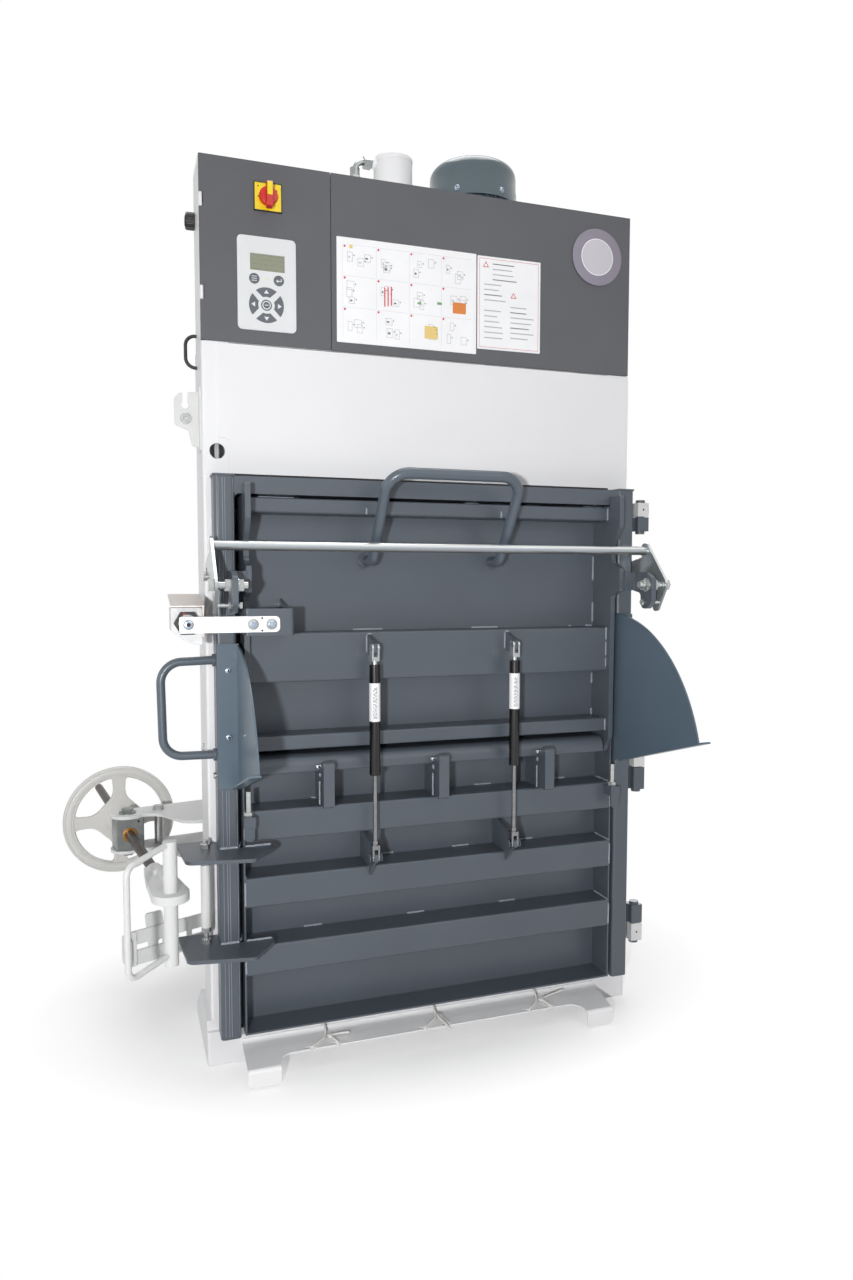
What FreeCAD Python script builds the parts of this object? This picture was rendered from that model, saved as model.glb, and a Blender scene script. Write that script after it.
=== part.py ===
"""Recycling baler: vertical cardboard press with a filling flap, a bale door and a screw lock.

Millimetres. While it is modelled, x runs to the operator's right, y runs into the machine from the
front face of its columns, and z runs up from the floor. The finished pieces are moved so that the
origin is on the floor in the middle of the press body's depth.
"""
import FreeCAD, Part
import math
import os

V = FreeCAD.Vector

# ---------------------------------------------------------------- driving dimensions
BODY_W = 1080.0          # over the two front columns
BODY_H = 2050.0          # floor to the top of the control cabinet
BODY_D = 660.0           # column front to the ribs of the rear wall
COLUMN_W = 60.0
COLUMN_D = 150.0
COLUMN_T = 5.0
SHOE_H = 104.0           # side shoes that carry the columns
SHOE_OUT = 10.0          # how far a shoe stands out beyond its column
SHOE_D = 272.0
SILL_H = 80.0
SILL_D = 55.0
SILL_FRONT = -10.0
WALL_T = 5.0             # chamber walls
FLOOR_TOP = 82.0
FLOOR_T = 20.0
STRAP_X = (-284.0, -8.0, 268.0)      # the three strapping lines
PLATE_TOP = 45.0         # strap plate in front of the sill
PLATE_FRONT = -92.0
HOOKS = (-37.0, 23.0)    # its hooks beside each strapping line
STRAP_CHANNEL_W = 24.0
STRAP_CHANNEL_D = 12.0
REAR_WALL_Y = 615.0
PANEL_Z0 = 1358.0        # white front panel above the door
CABINET_Z0 = 1652.0      # control cabinet
CABINET_D = 126.0
SHEET_T = 2.5
CABINET_DOOR_W = 294.0   # from the left edge to the joint with the right cover
COVER_GAP = 1.5

DOOR_INSET = 16.0        # the door ends this far inside the body's edge
DOOR_FRONT = -65.0
DOOR_BACK = -5.0
DOOR_Z0 = 84.0
DOOR_Z1 = 1350.0
POST_W = 45.0
POST_R = 8.0
RAIL_H = 38.0
DOOR_T = 4.0
TRAY_GAP = 9.0           # tray to door post
TRAY_SHEET_Y = 15.0
TRAY_Z1 = 722.0
BEAM_Z = ((684.0, 40.0), (535.0, 69.0), (382.0, 69.0), (224.0, 69.0))
LUG_Z = (517.0, 300.0)
LUG_T = 8.0
LUG_STUD_OUT = 28.0      # stud beyond the door's edge
LUG_STUD_Y = -45.0
HINGE_OUT = 28.0         # hinge pin beyond the body's edge
HINGE_Y = -25.0
HINGE_BLOCK = 32.0
HINGE_PIN_R = 10.0
HINGE_HEAD = 7.0
HINGE_LEAVES = (((1250.0, 1286.0), (1288.0, 1323.0)), ((571.0, 630.0), (632.0, 686.0)),
                ((210.0, 258.0), (161.0, 208.0)))      # door leaf, frame leaf
RUN_FIT = 0.06           # radial clearance of a pin that turns or slides in its bore

FLAP_AXIS = (-35.0, 700.0)
FLAP_GAP = 15.0          # flap side plate to door post
FLAP_SIDE_T = 12.0
FLAP_FRONT = -60.0
FLAP_SHEET_Y = 11.0
FLAP_Z0 = 737.0
FLAP_Z1 = 1306.0
FLAP_RAILS = ((737.0, 34.0), (892.0, 112.0), (1272.0, 34.0))
FLAP_PIN_R = 8.0
HANDLE_R = 12.5
CHEEK_T = 4.0
CHEEK_CENTRE = (-48.0, 655.0)
CHEEK_R = (325.0, 385.0)              # left, right
CHEEK_LIP_ANGLE = 16.6
CHEEK_LIP = 18.0

BAIL_ROD = (-105.0, 1197.0)
BAIL_PIVOT = (-180.0, 1112.0)
BAIL_TAIL = (-157.0, 1060.0)
BAIL_R = 11.0
LEVER_GAP = 8.0          # bail lever beyond the door's edge
LEVER_T = 6.0
BAIL_BOLT_R = 8.0
CATCH_PIN = (-33.0, 1130.0)
CATCH_PIN_R = 7.0
LATCH_OUT = 27.0         # latch plate beyond the flap side plate
LATCH_PLATE_T = 12.0

SPRING_X = 175.0
SPRING_TOP = (-106.0, 968.0)
SPRING_FOOT = (-106.0, 483.0)
SPRING_TUBE_R = 12.5
SPRING_ROD_R = 5.0
SPRING_TUBE_Z = (676.0, 931.0)
SPRING_BRACKET_T = 8.0
SPRING_SEAL_R = 6.3      # mouth of the tube: the rod leans a little in it as the flap swings
SPRING_PISTON_R = 9.0
FORK_R = 11.0
FORK_PIN_R = 4.0

LOCK_OUT = 171.0         # lock pivot beyond the body's edge
LOCK_Y = 412.0
LOCK_ANGLE = 8.24        # degrees between the spindle and straight ahead
SPINDLE_Z = 455.0
SPINDLE_R = 12.0
SPINDLE_BACK = 565.0     # reach behind the pivot
BLOCK = 72.0
BLOCK_H = 83.0
ARM_T = 8.0
ARM_END_R = 44.0
ARM_GAP = 0.3
PIVOT_R = 10.0
SPACER_R = 11.0          # distance tube between the lock arms
EYE_REACH = 549.0        # pivot to the pull tube
EYE_T = 18.0
EYE_R = 39.0
PULL_TUBE_R = 15.0
PULL_TUBE_Z = (305.0, 573.0)
WHEEL_R = 149.0
WHEEL_RIM_W = 31.0
WHEEL_RIM_T = 24.0
WHEEL_WEB_T = 14.0
WHEEL_BACK = 138.0

CYL_XY = (0.0, 315.0)
CYL_R = 52.0
CYL_BORE = 45.0
CYL_Z = (1405.0, 2272.0)
ROD_R = 28.0
CROSSHEAD_TOP = 1650.0
PLATEN_Z = 1330.0
PLATEN_T = 20.0
PLATEN_HALF = 470.0
TANK = (110.0, 370.0, 200.0, 450.0)
TANK_TOP = 1960.0
MOTOR_XY = (235.0, 325.0)
MOTOR_R = 105.0
FAN_COVER_R = 120.0
FAN_COVER_Z = (2180.0, 2309.0)

# ---------------------------------------------------------------- derived dimensions
HALF = BODY_W / 2
COLUMN_IN = HALF - COLUMN_W
WALL_OUT = COLUMN_IN + WALL_T
CABINET_H = BODY_H - CABINET_Z0
SPLIT_X = -HALF + CABINET_DOOR_W
KNUCKLE_Z = (CABINET_Z0 + 0.22 * CABINET_H, CABINET_Z0 + 0.72 * CABINET_H)
KEYPAD = (-HALF + 81, -HALF + 212, CABINET_Z0 + 0.075 * CABINET_H, CABINET_Z0 + 0.59 * CABINET_H)
SWITCH = (-HALF + 150.5, CABINET_Z0 + 0.81 * CABINET_H)
CONNECTOR_Z = CABINET_Z0 + 0.73 * CABINET_H
DOOR_HALF = HALF - DOOR_INSET
POST_IN = DOOR_HALF - POST_W
TRAY_HALF = POST_IN - TRAY_GAP
FLAP_HALF = POST_IN - FLAP_GAP
LUG_STUD = (-DOOR_HALF - LUG_STUD_OUT, LUG_STUD_Y)
HINGE_AXIS = (HALF + HINGE_OUT, HINGE_Y)
LEVER_X = DOOR_HALF + LEVER_GAP
LATCH_PLATE_X = FLAP_HALF + LATCH_OUT
LOCK_PIVOT = (-HALF - LOCK_OUT, LOCK_Y)
SPACER = (-HALF - 92, 425.0)
FLAP_IN = FLAP_HALF - FLAP_SIDE_T
TRAY_IN = TRAY_HALF - DOOR_T
CHEEK_IN = POST_IN - CHEEK_T
ARM_TOP_Z = SPINDLE_Z + BLOCK_H / 2 + ARM_GAP
ARM_LOW_Z = SPINDLE_Z - BLOCK_H / 2 - ARM_GAP - ARM_T
REACH = V(math.sin(math.radians(LOCK_ANGLE)), -math.cos(math.radians(LOCK_ANGLE)), 0)
ASIDE = V(math.cos(math.radians(LOCK_ANGLE)), math.sin(math.radians(LOCK_ANGLE)), 0)

os.makedirs("parts", exist_ok=True)
SIDES = (-1, 1)


# ---------------------------------------------------------------- shape helpers
def box(x0, x1, y0, y1, z0, z1):
    """Box between two corners, whichever order each pair is given in."""
    x0, x1 = sorted((x0, x1))
    y0, y1 = sorted((y0, y1))
    z0, z1 = sorted((z0, z1))
    return Part.makeBox(x1 - x0, y1 - y0, z1 - z0, V(x0, y0, z0))


def rod_x(x0, x1, y, z, radius):
    x0, x1 = sorted((x0, x1))
    return Part.makeCylinder(radius, x1 - x0, V(x0, y, z), V(1, 0, 0))


def rod_y(y0, y1, x, z, radius):
    y0, y1 = sorted((y0, y1))
    return Part.makeCylinder(radius, y1 - y0, V(x, y0, z), V(0, 1, 0))


def rod_z(z0, z1, x, y, radius):
    z0, z1 = sorted((z0, z1))
    return Part.makeCylinder(radius, z1 - z0, V(x, y, z0), V(0, 0, 1))


def corner_wire(points):
    """Closed wire through (a, b[, radius]) corners in the xy plane, with rounded corners."""
    edges = []
    count = len(points)
    starts = []
    for i in range(count):
        here = V(points[i][0], points[i][1], 0)
        before = V(points[i - 1][0], points[i - 1][1], 0) - here
        after = V(points[(i + 1) % count][0], points[(i + 1) % count][1], 0) - here
        radius = points[i][2] if len(points[i]) > 2 else 0.0
        if radius <= 0:
            starts.append((here, None, here))
            continue
        half = before.getAngle(after) / 2
        run = radius / math.tan(half)
        before.normalize()
        after.normalize()
        middle = before + after
        middle.normalize()
        centre = here + middle * (radius / math.sin(half))
        towards = here - centre
        towards.normalize()
        starts.append((here + before * run, centre + towards * radius, here + after * run))
    for i in range(count):
        first, mid, last = starts[i]
        if mid is not None:
            edges.append(Part.Arc(first, mid, last).toShape())
        following = starts[(i + 1) % count][0]
        if (following - last).Length > 1e-6:
            edges.append(Part.LineSegment(last, following).toShape())
    return Part.Wire(edges)


def plate_z(points, z0, z1):
    """Plate with an outline of (x, y[, radius]) corners."""
    face = Part.Face(corner_wire(points))
    face.translate(V(0, 0, z0))
    return face.extrude(V(0, 0, z1 - z0))


def plate_x(points, x0, x1):
    """Plate with an outline of (y, z[, radius]) corners, between two x planes."""
    x0, x1 = sorted((x0, x1))
    face = Part.Face(corner_wire(points))
    face.rotate(V(0, 0, 0), V(1, 1, 1), 120)
    face.translate(V(x0, 0, 0))
    return face.extrude(V(x1 - x0, 0, 0))


def plate_y(points, y0, y1):
    """Plate with an outline of (x, z[, radius]) corners, between two y planes."""
    y0, y1 = sorted((y0, y1))
    face = Part.Face(corner_wire(points))
    face.rotate(V(0, 0, 0), V(1, 0, 0), 90)
    face.translate(V(0, y1, 0))
    return face.extrude(V(0, y0 - y1, 0))


def strap_hull(a, ra, b, rb):
    """Outline of a bar with round ends: two circles in a plane and their common tangents."""
    ax, ay = a
    bx, by = b
    length = math.hypot(bx - ax, by - ay)
    base = math.atan2(by - ay, bx - ax)
    lean = math.acos((ra - rb) / length)
    up = base + lean
    down = base - lean
    pa = V(ax + ra * math.cos(up), ay + ra * math.sin(up), 0)
    pb = V(bx + rb * math.cos(up), by + rb * math.sin(up), 0)
    qb = V(bx + rb * math.cos(down), by + rb * math.sin(down), 0)
    qa = V(ax + ra * math.cos(down), ay + ra * math.sin(down), 0)
    far_b = V(bx + rb * math.cos(base), by + rb * math.sin(base), 0)
    far_a = V(ax - ra * math.cos(base), ay - ra * math.sin(base), 0)
    edges = [Part.LineSegment(pa, pb).toShape(), Part.Arc(pb, far_b, qb).toShape(),
             Part.LineSegment(qb, qa).toShape(), Part.Arc(qa, far_a, pa).toShape()]
    return Part.Face(Part.Wire(edges))


def bar_x(a, ra, b, rb, x0, x1):
    """Round-ended bar in the yz plane."""
    x0, x1 = sorted((x0, x1))
    face = strap_hull(a, ra, b, rb)
    face.rotate(V(0, 0, 0), V(1, 1, 1), 120)
    face.translate(V(x0, 0, 0))
    return face.extrude(V(x1 - x0, 0, 0))


def bent_rod(points, radius, bends):
    """Round rod along straight runs joined by tangent arcs of the given radii."""
    path = [V(*p) for p in points]
    edges = []
    start = path[0]
    for i in range(1, len(path) - 1):
        here = path[i]
        before = (path[i - 1] - here)
        after = (path[i + 1] - here)
        half = before.getAngle(after) / 2
        run = bends[i - 1] / math.tan(half)
        before.normalize()
        after.normalize()
        middle = before + after
        middle.normalize()
        centre = here + middle * (bends[i - 1] / math.sin(half))
        towards = here - centre
        towards.normalize()
        first = here + before * run
        last = here + after * run
        if (first - start).Length > 1e-6:
            edges.append(Part.LineSegment(start, first).toShape())
        edges.append(Part.Arc(first, centre + towards * bends[i - 1], last).toShape())
        start = last
    edges.append(Part.LineSegment(start, path[-1]).toShape())
    spine = Part.Wire(edges)
    circle = Part.Wire([Part.makeCircle(radius, path[0], path[1] - path[0])])
    return spine.makePipeShell([circle], True, False)


def hexagon(axis, a, b, start, end, flats):
    """Hexagon prism along an axis: a and b are its centre in the other two coordinates."""
    r = flats / math.sqrt(3)
    points = [(a + r * math.cos(math.radians(60 * k)), b + r * math.sin(math.radians(60 * k)))
              for k in range(6)]
    maker = {"x": plate_x, "y": plate_y, "z": plate_z}[axis]
    return maker(points, min(start, end), max(start, end))


def fuse(*shapes):
    result = shapes[0].multiFuse(list(shapes[1:])) if len(shapes) > 1 else shapes[0]
    return result.removeSplitter()


def mirror(shape):
    return shape.mirror(V(0, 0, 0), V(1, 0, 0))


def both(shape):
    """The piece and its mirror image across the middle plane."""
    return [shape, mirror(shape)]


def edges_along(shape, direction):
    """Straight edges of a shape that run along a direction."""
    found = []
    for edge in shape.Edges:
        if isinstance(edge.Curve, Part.Line):
            if abs(abs(edge.Curve.Direction * direction) - 1) < 1e-6:
                found.append(edge)
    return found


def store(name, shapes):
    """Write one sub-part, moved from the column front to the middle of the body's depth."""
    solids = []
    for shape in shapes:
        solids.extend(shape.Solids)
    whole = solids[0] if len(solids) == 1 else Part.makeCompound(solids)
    whole.translate(V(0, -BODY_D / 2, 0))
    if not whole.isValid():
        print("invalid", name)
    whole.exportStep("parts/" + name + ".step")
    print(name, len(solids), round(whole.Volume / 1e6, 3))


# ---------------------------------------------------------------- press frame
def between_channels(y0, y1, z0, z1):
    """The four strips that the strap channels leave of a bar across the chamber."""
    half = STRAP_CHANNEL_W / 2
    edges = [-COLUMN_IN] + [x + side * half for x in STRAP_X for side in SIDES] + [COLUMN_IN]
    return [box(edges[i], edges[i + 1], y0, y1, z0, z1) for i in range(0, len(edges), 2)]


def base_frame():
    shoe = plate_x([(SILL_FRONT, 0), (SHOE_D, 0), (SHOE_D, 22), (COLUMN_D + 20, SHOE_H),
                    (0, SHOE_H), (0, SILL_H), (SILL_FRONT, SILL_H)], COLUMN_IN, HALF + SHOE_OUT)
    shoe = shoe.makeFillet(7, [e for e in edges_along(shoe, V(0, 0, 1))
                               if e.CenterOfMass.y < -5 and e.CenterOfMass.x > HALF])
    shoe = shoe.cut(box(COLUMN_IN - 1, WALL_OUT, COLUMN_D, SHOE_D + 1, FLOOR_TOP - FLOOR_T, SHOE_H + 1))
    inner = COLUMN_IN - 55
    skid = box(inner, COLUMN_IN, SILL_FRONT + SILL_D, BODY_D - 5, 0, FLOOR_TOP - FLOOR_T)
    sill = box(-COLUMN_IN, COLUMN_IN, SILL_FRONT, SILL_FRONT + SILL_D, 0, FLOOR_TOP - FLOOR_T)
    lip = box(-COLUMN_IN, COLUMN_IN, SILL_FRONT, SILL_FRONT + 4, 0, FLOOR_TOP - STRAP_CHANNEL_D)
    middle = box(-inner, inner, BODY_D / 2 - 30, BODY_D / 2 + 30, 0, FLOOR_TOP - FLOOR_T)
    rear = box(-inner, inner, BODY_D - 65, BODY_D - 5, 0, FLOOR_TOP - FLOOR_T)
    frame = fuse(sill, lip, middle, rear, *both(skid))
    for side in SIDES:
        x = side * 430
        frame = frame.fuse(box(x - 30, x + 30, BODY_D - 5, BODY_D + 45, 0, 10))
    frame = frame.removeSplitter()
    for side in SIDES:
        frame = frame.cut(rod_z(-1, 11, side * 430, BODY_D + 22, 7))
    store("base_frame", [frame, *both(shoe),
                         *between_channels(SILL_FRONT, SILL_FRONT + 4, FLOOR_TOP - STRAP_CHANNEL_D, SILL_H)])


def floor_plate():
    front, ledge = SILL_FRONT + 4, FLOOR_TOP - STRAP_CHANNEL_D
    plate = box(-COLUMN_IN, COLUMN_IN, front, REAR_WALL_Y, FLOOR_TOP - FLOOR_T, ledge)
    store("chamber_floor", [plate, *between_channels(front, REAR_WALL_Y, ledge, FLOOR_TOP)])


def columns():
    column = box(COLUMN_IN, HALF, 0, COLUMN_D, SHOE_H, CABINET_Z0 - 2)
    column = column.makeFillet(6, [e for e in edges_along(column, V(0, 0, 1))
                                   if e.CenterOfMass.y < 1 and e.CenterOfMass.x > COLUMN_IN + 1])
    column = column.cut(box(COLUMN_IN + COLUMN_T, HALF - COLUMN_T, COLUMN_T, COLUMN_D - COLUMN_T,
                            SHOE_H - 1, CABINET_Z0))
    left = mirror(column)
    pad = plate_y([(-HALF + 4, PANEL_Z0), (-COLUMN_IN - 2, PANEL_Z0), (-COLUMN_IN - 2, PANEL_Z0 + 80, 16),
                   (-HALF + 4, PANEL_Z0 + 80)], -2, 0)
    left = left.fuse(pad).cut(rod_y(-5, COLUMN_T + 1, -COLUMN_IN - 28, PANEL_Z0 + 52, 17)).removeSplitter()
    store("front_columns", [left, column])


def side_walls():
    plate = box(COLUMN_IN, WALL_OUT, COLUMN_D, REAR_WALL_Y + WALL_T, FLOOR_TOP - FLOOR_T, PANEL_Z0)
    ribs = []
    for z in (180, 700, 960, 1220):
        rib = plate_y([(WALL_OUT, z), (WALL_OUT, z + 70), (WALL_OUT + 18, z + 58), (WALL_OUT + 18, z + 12)],
                      COLUMN_D, REAR_WALL_Y - 90)
        ribs.append(rib)
    store("side_walls", both(fuse(plate, *ribs)))


def rear_wall():
    plate = box(-COLUMN_IN, COLUMN_IN, REAR_WALL_Y, REAR_WALL_Y + WALL_T, FLOOR_TOP - FLOOR_T, PANEL_Z0)
    ribs = []
    depth = BODY_D - REAR_WALL_Y - WALL_T
    for z in (760, 960, 1160):
        ribs.append(box(-COLUMN_IN, COLUMN_IN, REAR_WALL_Y + WALL_T, BODY_D, z, z + 60))
    for x in (-COLUMN_IN + 40, -146, 130, COLUMN_IN - 70):
        ribs.append(box(x - 30, x + 30, REAR_WALL_Y + WALL_T, REAR_WALL_Y + WALL_T + depth, 62, 760))
    wall = fuse(plate, *ribs)
    for x in STRAP_X:
        wall = wall.cut(box(x - 10, x + 10, REAR_WALL_Y - 1, REAR_WALL_Y + WALL_T + 1, 110, 690))
    store("rear_wall", [wall])


def crosshead():
    top = fuse(box(-COLUMN_IN, COLUMN_IN, CABINET_D + 4, BODY_D - 5, CROSSHEAD_TOP - 20, CROSSHEAD_TOP),
               box(-WALL_OUT, WALL_OUT, COLUMN_D, BODY_D - 5, CROSSHEAD_TOP - 20, CROSSHEAD_TOP))
    side = box(COLUMN_IN, WALL_OUT, COLUMN_D, BODY_D - 5, PANEL_Z0, CROSSHEAD_TOP - 20)
    back = box(-COLUMN_IN, COLUMN_IN, BODY_D - 10, BODY_D - 5, PANEL_Z0, CROSSHEAD_TOP - 20)
    webs = [box(-COLUMN_IN, COLUMN_IN, y, y + 10, 1480, CROSSHEAD_TOP - 20)
            for y in (CYL_XY[1] - 75, CYL_XY[1] + 65)]
    head = fuse(top, back, *both(side), *webs)
    head = head.cut(rod_z(CROSSHEAD_TOP - 21, CROSSHEAD_TOP + 1, CYL_XY[0], CYL_XY[1], CYL_R + 1))
    store("crosshead", [head])


def front_panel():
    x0 = -COLUMN_IN + 2
    outline = [(-COLUMN_IN - 25, CABINET_Z0 - 4), (-COLUMN_IN - 25, PANEL_Z0 + 82), (x0, PANEL_Z0 + 82, 14), (x0, PANEL_Z0),
               (HALF, PANEL_Z0), (HALF, CABINET_Z0 - 4)]
    panel = plate_y(outline, -2, 0)
    edge = box(-COLUMN_IN, COLUMN_IN, 0, 30, PANEL_Z0, PANEL_Z0 + 2)
    store("front_panel", [fuse(panel, edge)])


def control_cabinet():
    outer = box(-HALF, HALF, 9, CABINET_D, CABINET_Z0, BODY_H)
    inner = box(-HALF + 3, HALF - 3, 8, CABINET_D - 3, CABINET_Z0 + 3, BODY_H - 3)
    body = outer.cut(inner)
    divider = box(SPLIT_X - 4, SPLIT_X + 4, 9, CABINET_D - 3, CABINET_Z0 + 3, BODY_H - 3)
    body = fuse(body, divider)
    knuckles = []
    for z in KNUCKLE_Z:
        knuckle = rod_z(z, z + 30, -HALF + 4, 4, 4).fuse(box(-HALF, -HALF + 3, 4, 9, z, z + 30))
        knuckles.append(knuckle.cut(rod_z(z - 1, z + 31, -HALF + 4, 4, 2)))
    body = fuse(body, *knuckles)
    body = body.cut(rod_x(-HALF - 1, -HALF + 4, 108, CONNECTOR_Z, 12))
    store("control_cabinet", [body])


def control_gear():
    plate = box(-HALF + 20, SPLIT_X - 20, CABINET_D - 8, CABINET_D - 3, CABINET_Z0 + 25, BODY_H - 25)
    gear = [plate]
    high = 0.19 * CABINET_H
    for z in (CABINET_Z0 + 0.17 * CABINET_H, CABINET_Z0 + 0.5 * CABINET_H):
        rail = box(-HALF + 35, SPLIT_X - 35, CABINET_D - 15, CABINET_D - 8, z + 0.27 * high, z + 0.73 * high)
        gear.append(rail)
        for k in range(4):
            x = -HALF + 45 + 53 * k
            unit = box(x, x + 45, CABINET_D - 70, CABINET_D - 15, z, z + high)
            gear.append(unit.cut(box(x + 8, x + 37, CABINET_D - 72, CABINET_D - 62, z + 0.2 * high,
                                     z + 0.8 * high)))
    store("control_gear", [fuse(*gear)])


def right_cover():
    x0 = SPLIT_X + COVER_GAP / 2
    plate = box(x0, HALF, 0, SHEET_T, CABINET_Z0, BODY_H)
    rim = box(x0 + 2, HALF - 1, SHEET_T, 9, CABINET_Z0 + 1, BODY_H - 1)
    rim = rim.cut(box(x0 + 4, HALF - 3, 0, 10, CABINET_Z0 + 3, BODY_H - 3))
    store("right_cover", [fuse(plate, rim)])


def cylinder():
    x, y = CYL_XY
    barrel = rod_z(CYL_Z[0], CYL_Z[1], x, y, CYL_R)
    flange = rod_z(CROSSHEAD_TOP, CROSSHEAD_TOP + 25, x, y, 95)
    port = rod_x(x - CYL_R - 8, x, y, 2232, 14)
    body = fuse(barrel, flange, port)
    body = body.cut(rod_z(CYL_Z[0] + 40, CYL_Z[1] - 22, x, y, CYL_BORE))
    body = body.cut(rod_z(CYL_Z[0] - 1, CYL_Z[0] + 41, x, y, ROD_R + RUN_FIT))
    body = body.makeFillet(6, [e for e in body.Edges if abs(e.CenterOfMass.z - CYL_Z[1]) < 0.1])
    store("cylinder_barrel", [body])


def platen():
    x, y = CYL_XY
    plate = box(-PLATEN_HALF, PLATEN_HALF, 32, REAR_WALL_Y - 12, PLATEN_Z, PLATEN_Z + PLATEN_T)
    ribs = [box(-PLATEN_HALF + 20, PLATEN_HALF - 20, v, v + 12, PLATEN_Z + PLATEN_T, PLATEN_Z + 66)
            for v in (y - 130, y - 60, y + 48, y + 118)]
    boss = rod_z(PLATEN_Z + PLATEN_T, PLATEN_Z + 72, x, y, 75)
    body = fuse(plate, boss, *ribs)
    for line in STRAP_X:
        body = body.cut(box(line - 10, line + 10, 0, BODY_D, PLATEN_Z - 1, PLATEN_Z + 8))
    store("press_platen", [body])
    top = PLATEN_Z + 72
    shaft = rod_z(top, 2195, x, y, ROD_R)
    piston = rod_z(2195, 2235, x, y, CYL_BORE - RUN_FIT)
    store("piston_rod", [fuse(shaft, piston)])


def hydraulics():
    x, y = CYL_XY
    start = x - CYL_R - 8
    pipe = bent_rod([(start, y, 2232), (start - 46, y, 2232), (start - 46, y, 1730),
                     (start - 46, y + 115, 1730), (TANK[0], y + 115, 1730)], 8, [28, 30, 30])
    nuts = [hexagon("x", y, 2232, start - 22, start - 2, 30), hexagon("z", start - 46, y, 2165, 2190, 30),
            hexagon("x", y + 115, 1730, TANK[0] - 26, TANK[0] - 4, 30)]
    elbow = rod_z(2186, 2212, start - 46, y, 13)
    store("pressure_pipe", [fuse(pipe, elbow, *nuts)])
    x0, x1, y0, y1 = TANK
    tank = box(x0, x1, y0, y1, CROSSHEAD_TOP, TANK_TOP - 8)
    tank = tank.makeFillet(16, edges_along(tank, V(0, 0, 1)))
    lid = box(x0 - 8, x1 + 8, y0 - 8, y1 + 8, TANK_TOP - 8, TANK_TOP)
    filler = rod_z(TANK_TOP, TANK_TOP + 34, x0 + 28, y0 + 24, 18)
    tank = fuse(tank, lid, filler)
    store("oil_tank", [tank])


def motor():
    x, y = MOTOR_XY
    flange = rod_z(TANK_TOP, TANK_TOP + 22, x, y, 100)
    body = rod_z(TANK_TOP + 22, FAN_COVER_Z[0] + 22, x, y, MOTOR_R - 16)
    fins = []
    for k in range(24):
        fin = box(MOTOR_R - 22, MOTOR_R, -2, 2, TANK_TOP + 36, FAN_COVER_Z[0] - 10)
        fin.rotate(V(0, 0, 0), V(0, 0, 1), 15 * k)
        fin.translate(V(x, y, 0))
        fins.append(fin)
    terminal = box(x - 45, x + 45, y - MOTOR_R - 26, y - MOTOR_R + 20, 2030, 2120)
    body = fuse(flange, body, terminal, *fins)
    body = body.cut(rod_z(FAN_COVER_Z[0] - 40, FAN_COVER_Z[0] + 30, x, y, 11 + RUN_FIT))
    store("pump_motor", [body])
    z0, z1 = FAN_COVER_Z
    outer = rod_z(z0, z1, x, y, FAN_COVER_R)
    outer = outer.makeFillet(34, [e for e in outer.Edges if abs(e.CenterOfMass.z - z1) < 0.1])
    inner = rod_z(z0 - 1, z1 - 3, x, y, FAN_COVER_R - 3)
    inner = inner.makeFillet(31, [e for e in inner.Edges if abs(e.CenterOfMass.z - z1 + 3) < 0.1])
    cover = outer.cut(inner)
    for k in range(12):
        slot = box(FAN_COVER_R - 12, FAN_COVER_R + 5, -16, 16, z0 + 8, z0 + 14)
        slot.rotate(V(0, 0, 0), V(0, 0, 1), 30 * k)
        slot.translate(V(x, y, 0))
        cover = cover.cut(slot)
    for k in range(4):
        tab = box(MOTOR_R - 18, FAN_COVER_R - 2.5, -6, 6, z0 + 17, z0 + 21)
        tab.rotate(V(0, 0, 0), V(0, 0, 1), 90 * k + 45)
        tab.translate(V(x, y, 0))
        cover = cover.fuse(tab)
    cover = cover.cut(rod_z(z0, z0 + 30, x, y, MOTOR_R - 16)).removeSplitter()
    store("fan_cover", [cover])
    shaft = rod_z(z0 - 30, z1 - 30, x, y, 11)
    hub = rod_z(z0 + 28, z1 - 28, x, y, 24)
    disc = rod_z(z0 + 28, z0 + 32, x, y, 98)
    blades = []
    for k in range(8):
        blade = box(20, 98, -1.5, 1.5, z0 + 32, z0 + 78)
        blade.rotate(V(0, 0, 0), V(0, 0, 1), 45 * k)
        blade.translate(V(x, y, 0))
        blades.append(blade)
    store("motor_fan", [fuse(shaft, hub, disc, *blades)])


def side_fittings():
    body = rod_x(-HALF - 20, -HALF, 108, CONNECTOR_Z, 18)
    thread = rod_x(-HALF, -HALF + 14, 108, CONNECTOR_Z, 11.9)
    loop = bent_rod([(-HALF, 105, 1684), (-HALF - 25, 105, 1684), (-HALF - 25, 105, 1612),
                     (-HALF, 105, 1612)], 4, [22, 22])
    store("side_connector", [fuse(body, thread), loop])
    bracket = plate_y([(-HALF, 1420), (-HALF, 1545), (-HALF - 45, 1540, 8), (-HALF - 57, 1528, 8),
                       (-HALF - 57, 1470, 10), (-HALF - 26, 1458), (-HALF - 20, 1424, 8)], 36, 41)
    bracket = bracket.cut(rod_y(30, 50, -HALF - 33, 1514, 8))
    bracket = bracket.cut(box(-HALF - 39, -HALF - 27, 30, 50, 1514, 1550))
    strip = box(-HALF - 4, -HALF, 16, 60, 1412, 1552)
    store("side_hook", [fuse(bracket, strip)])


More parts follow.
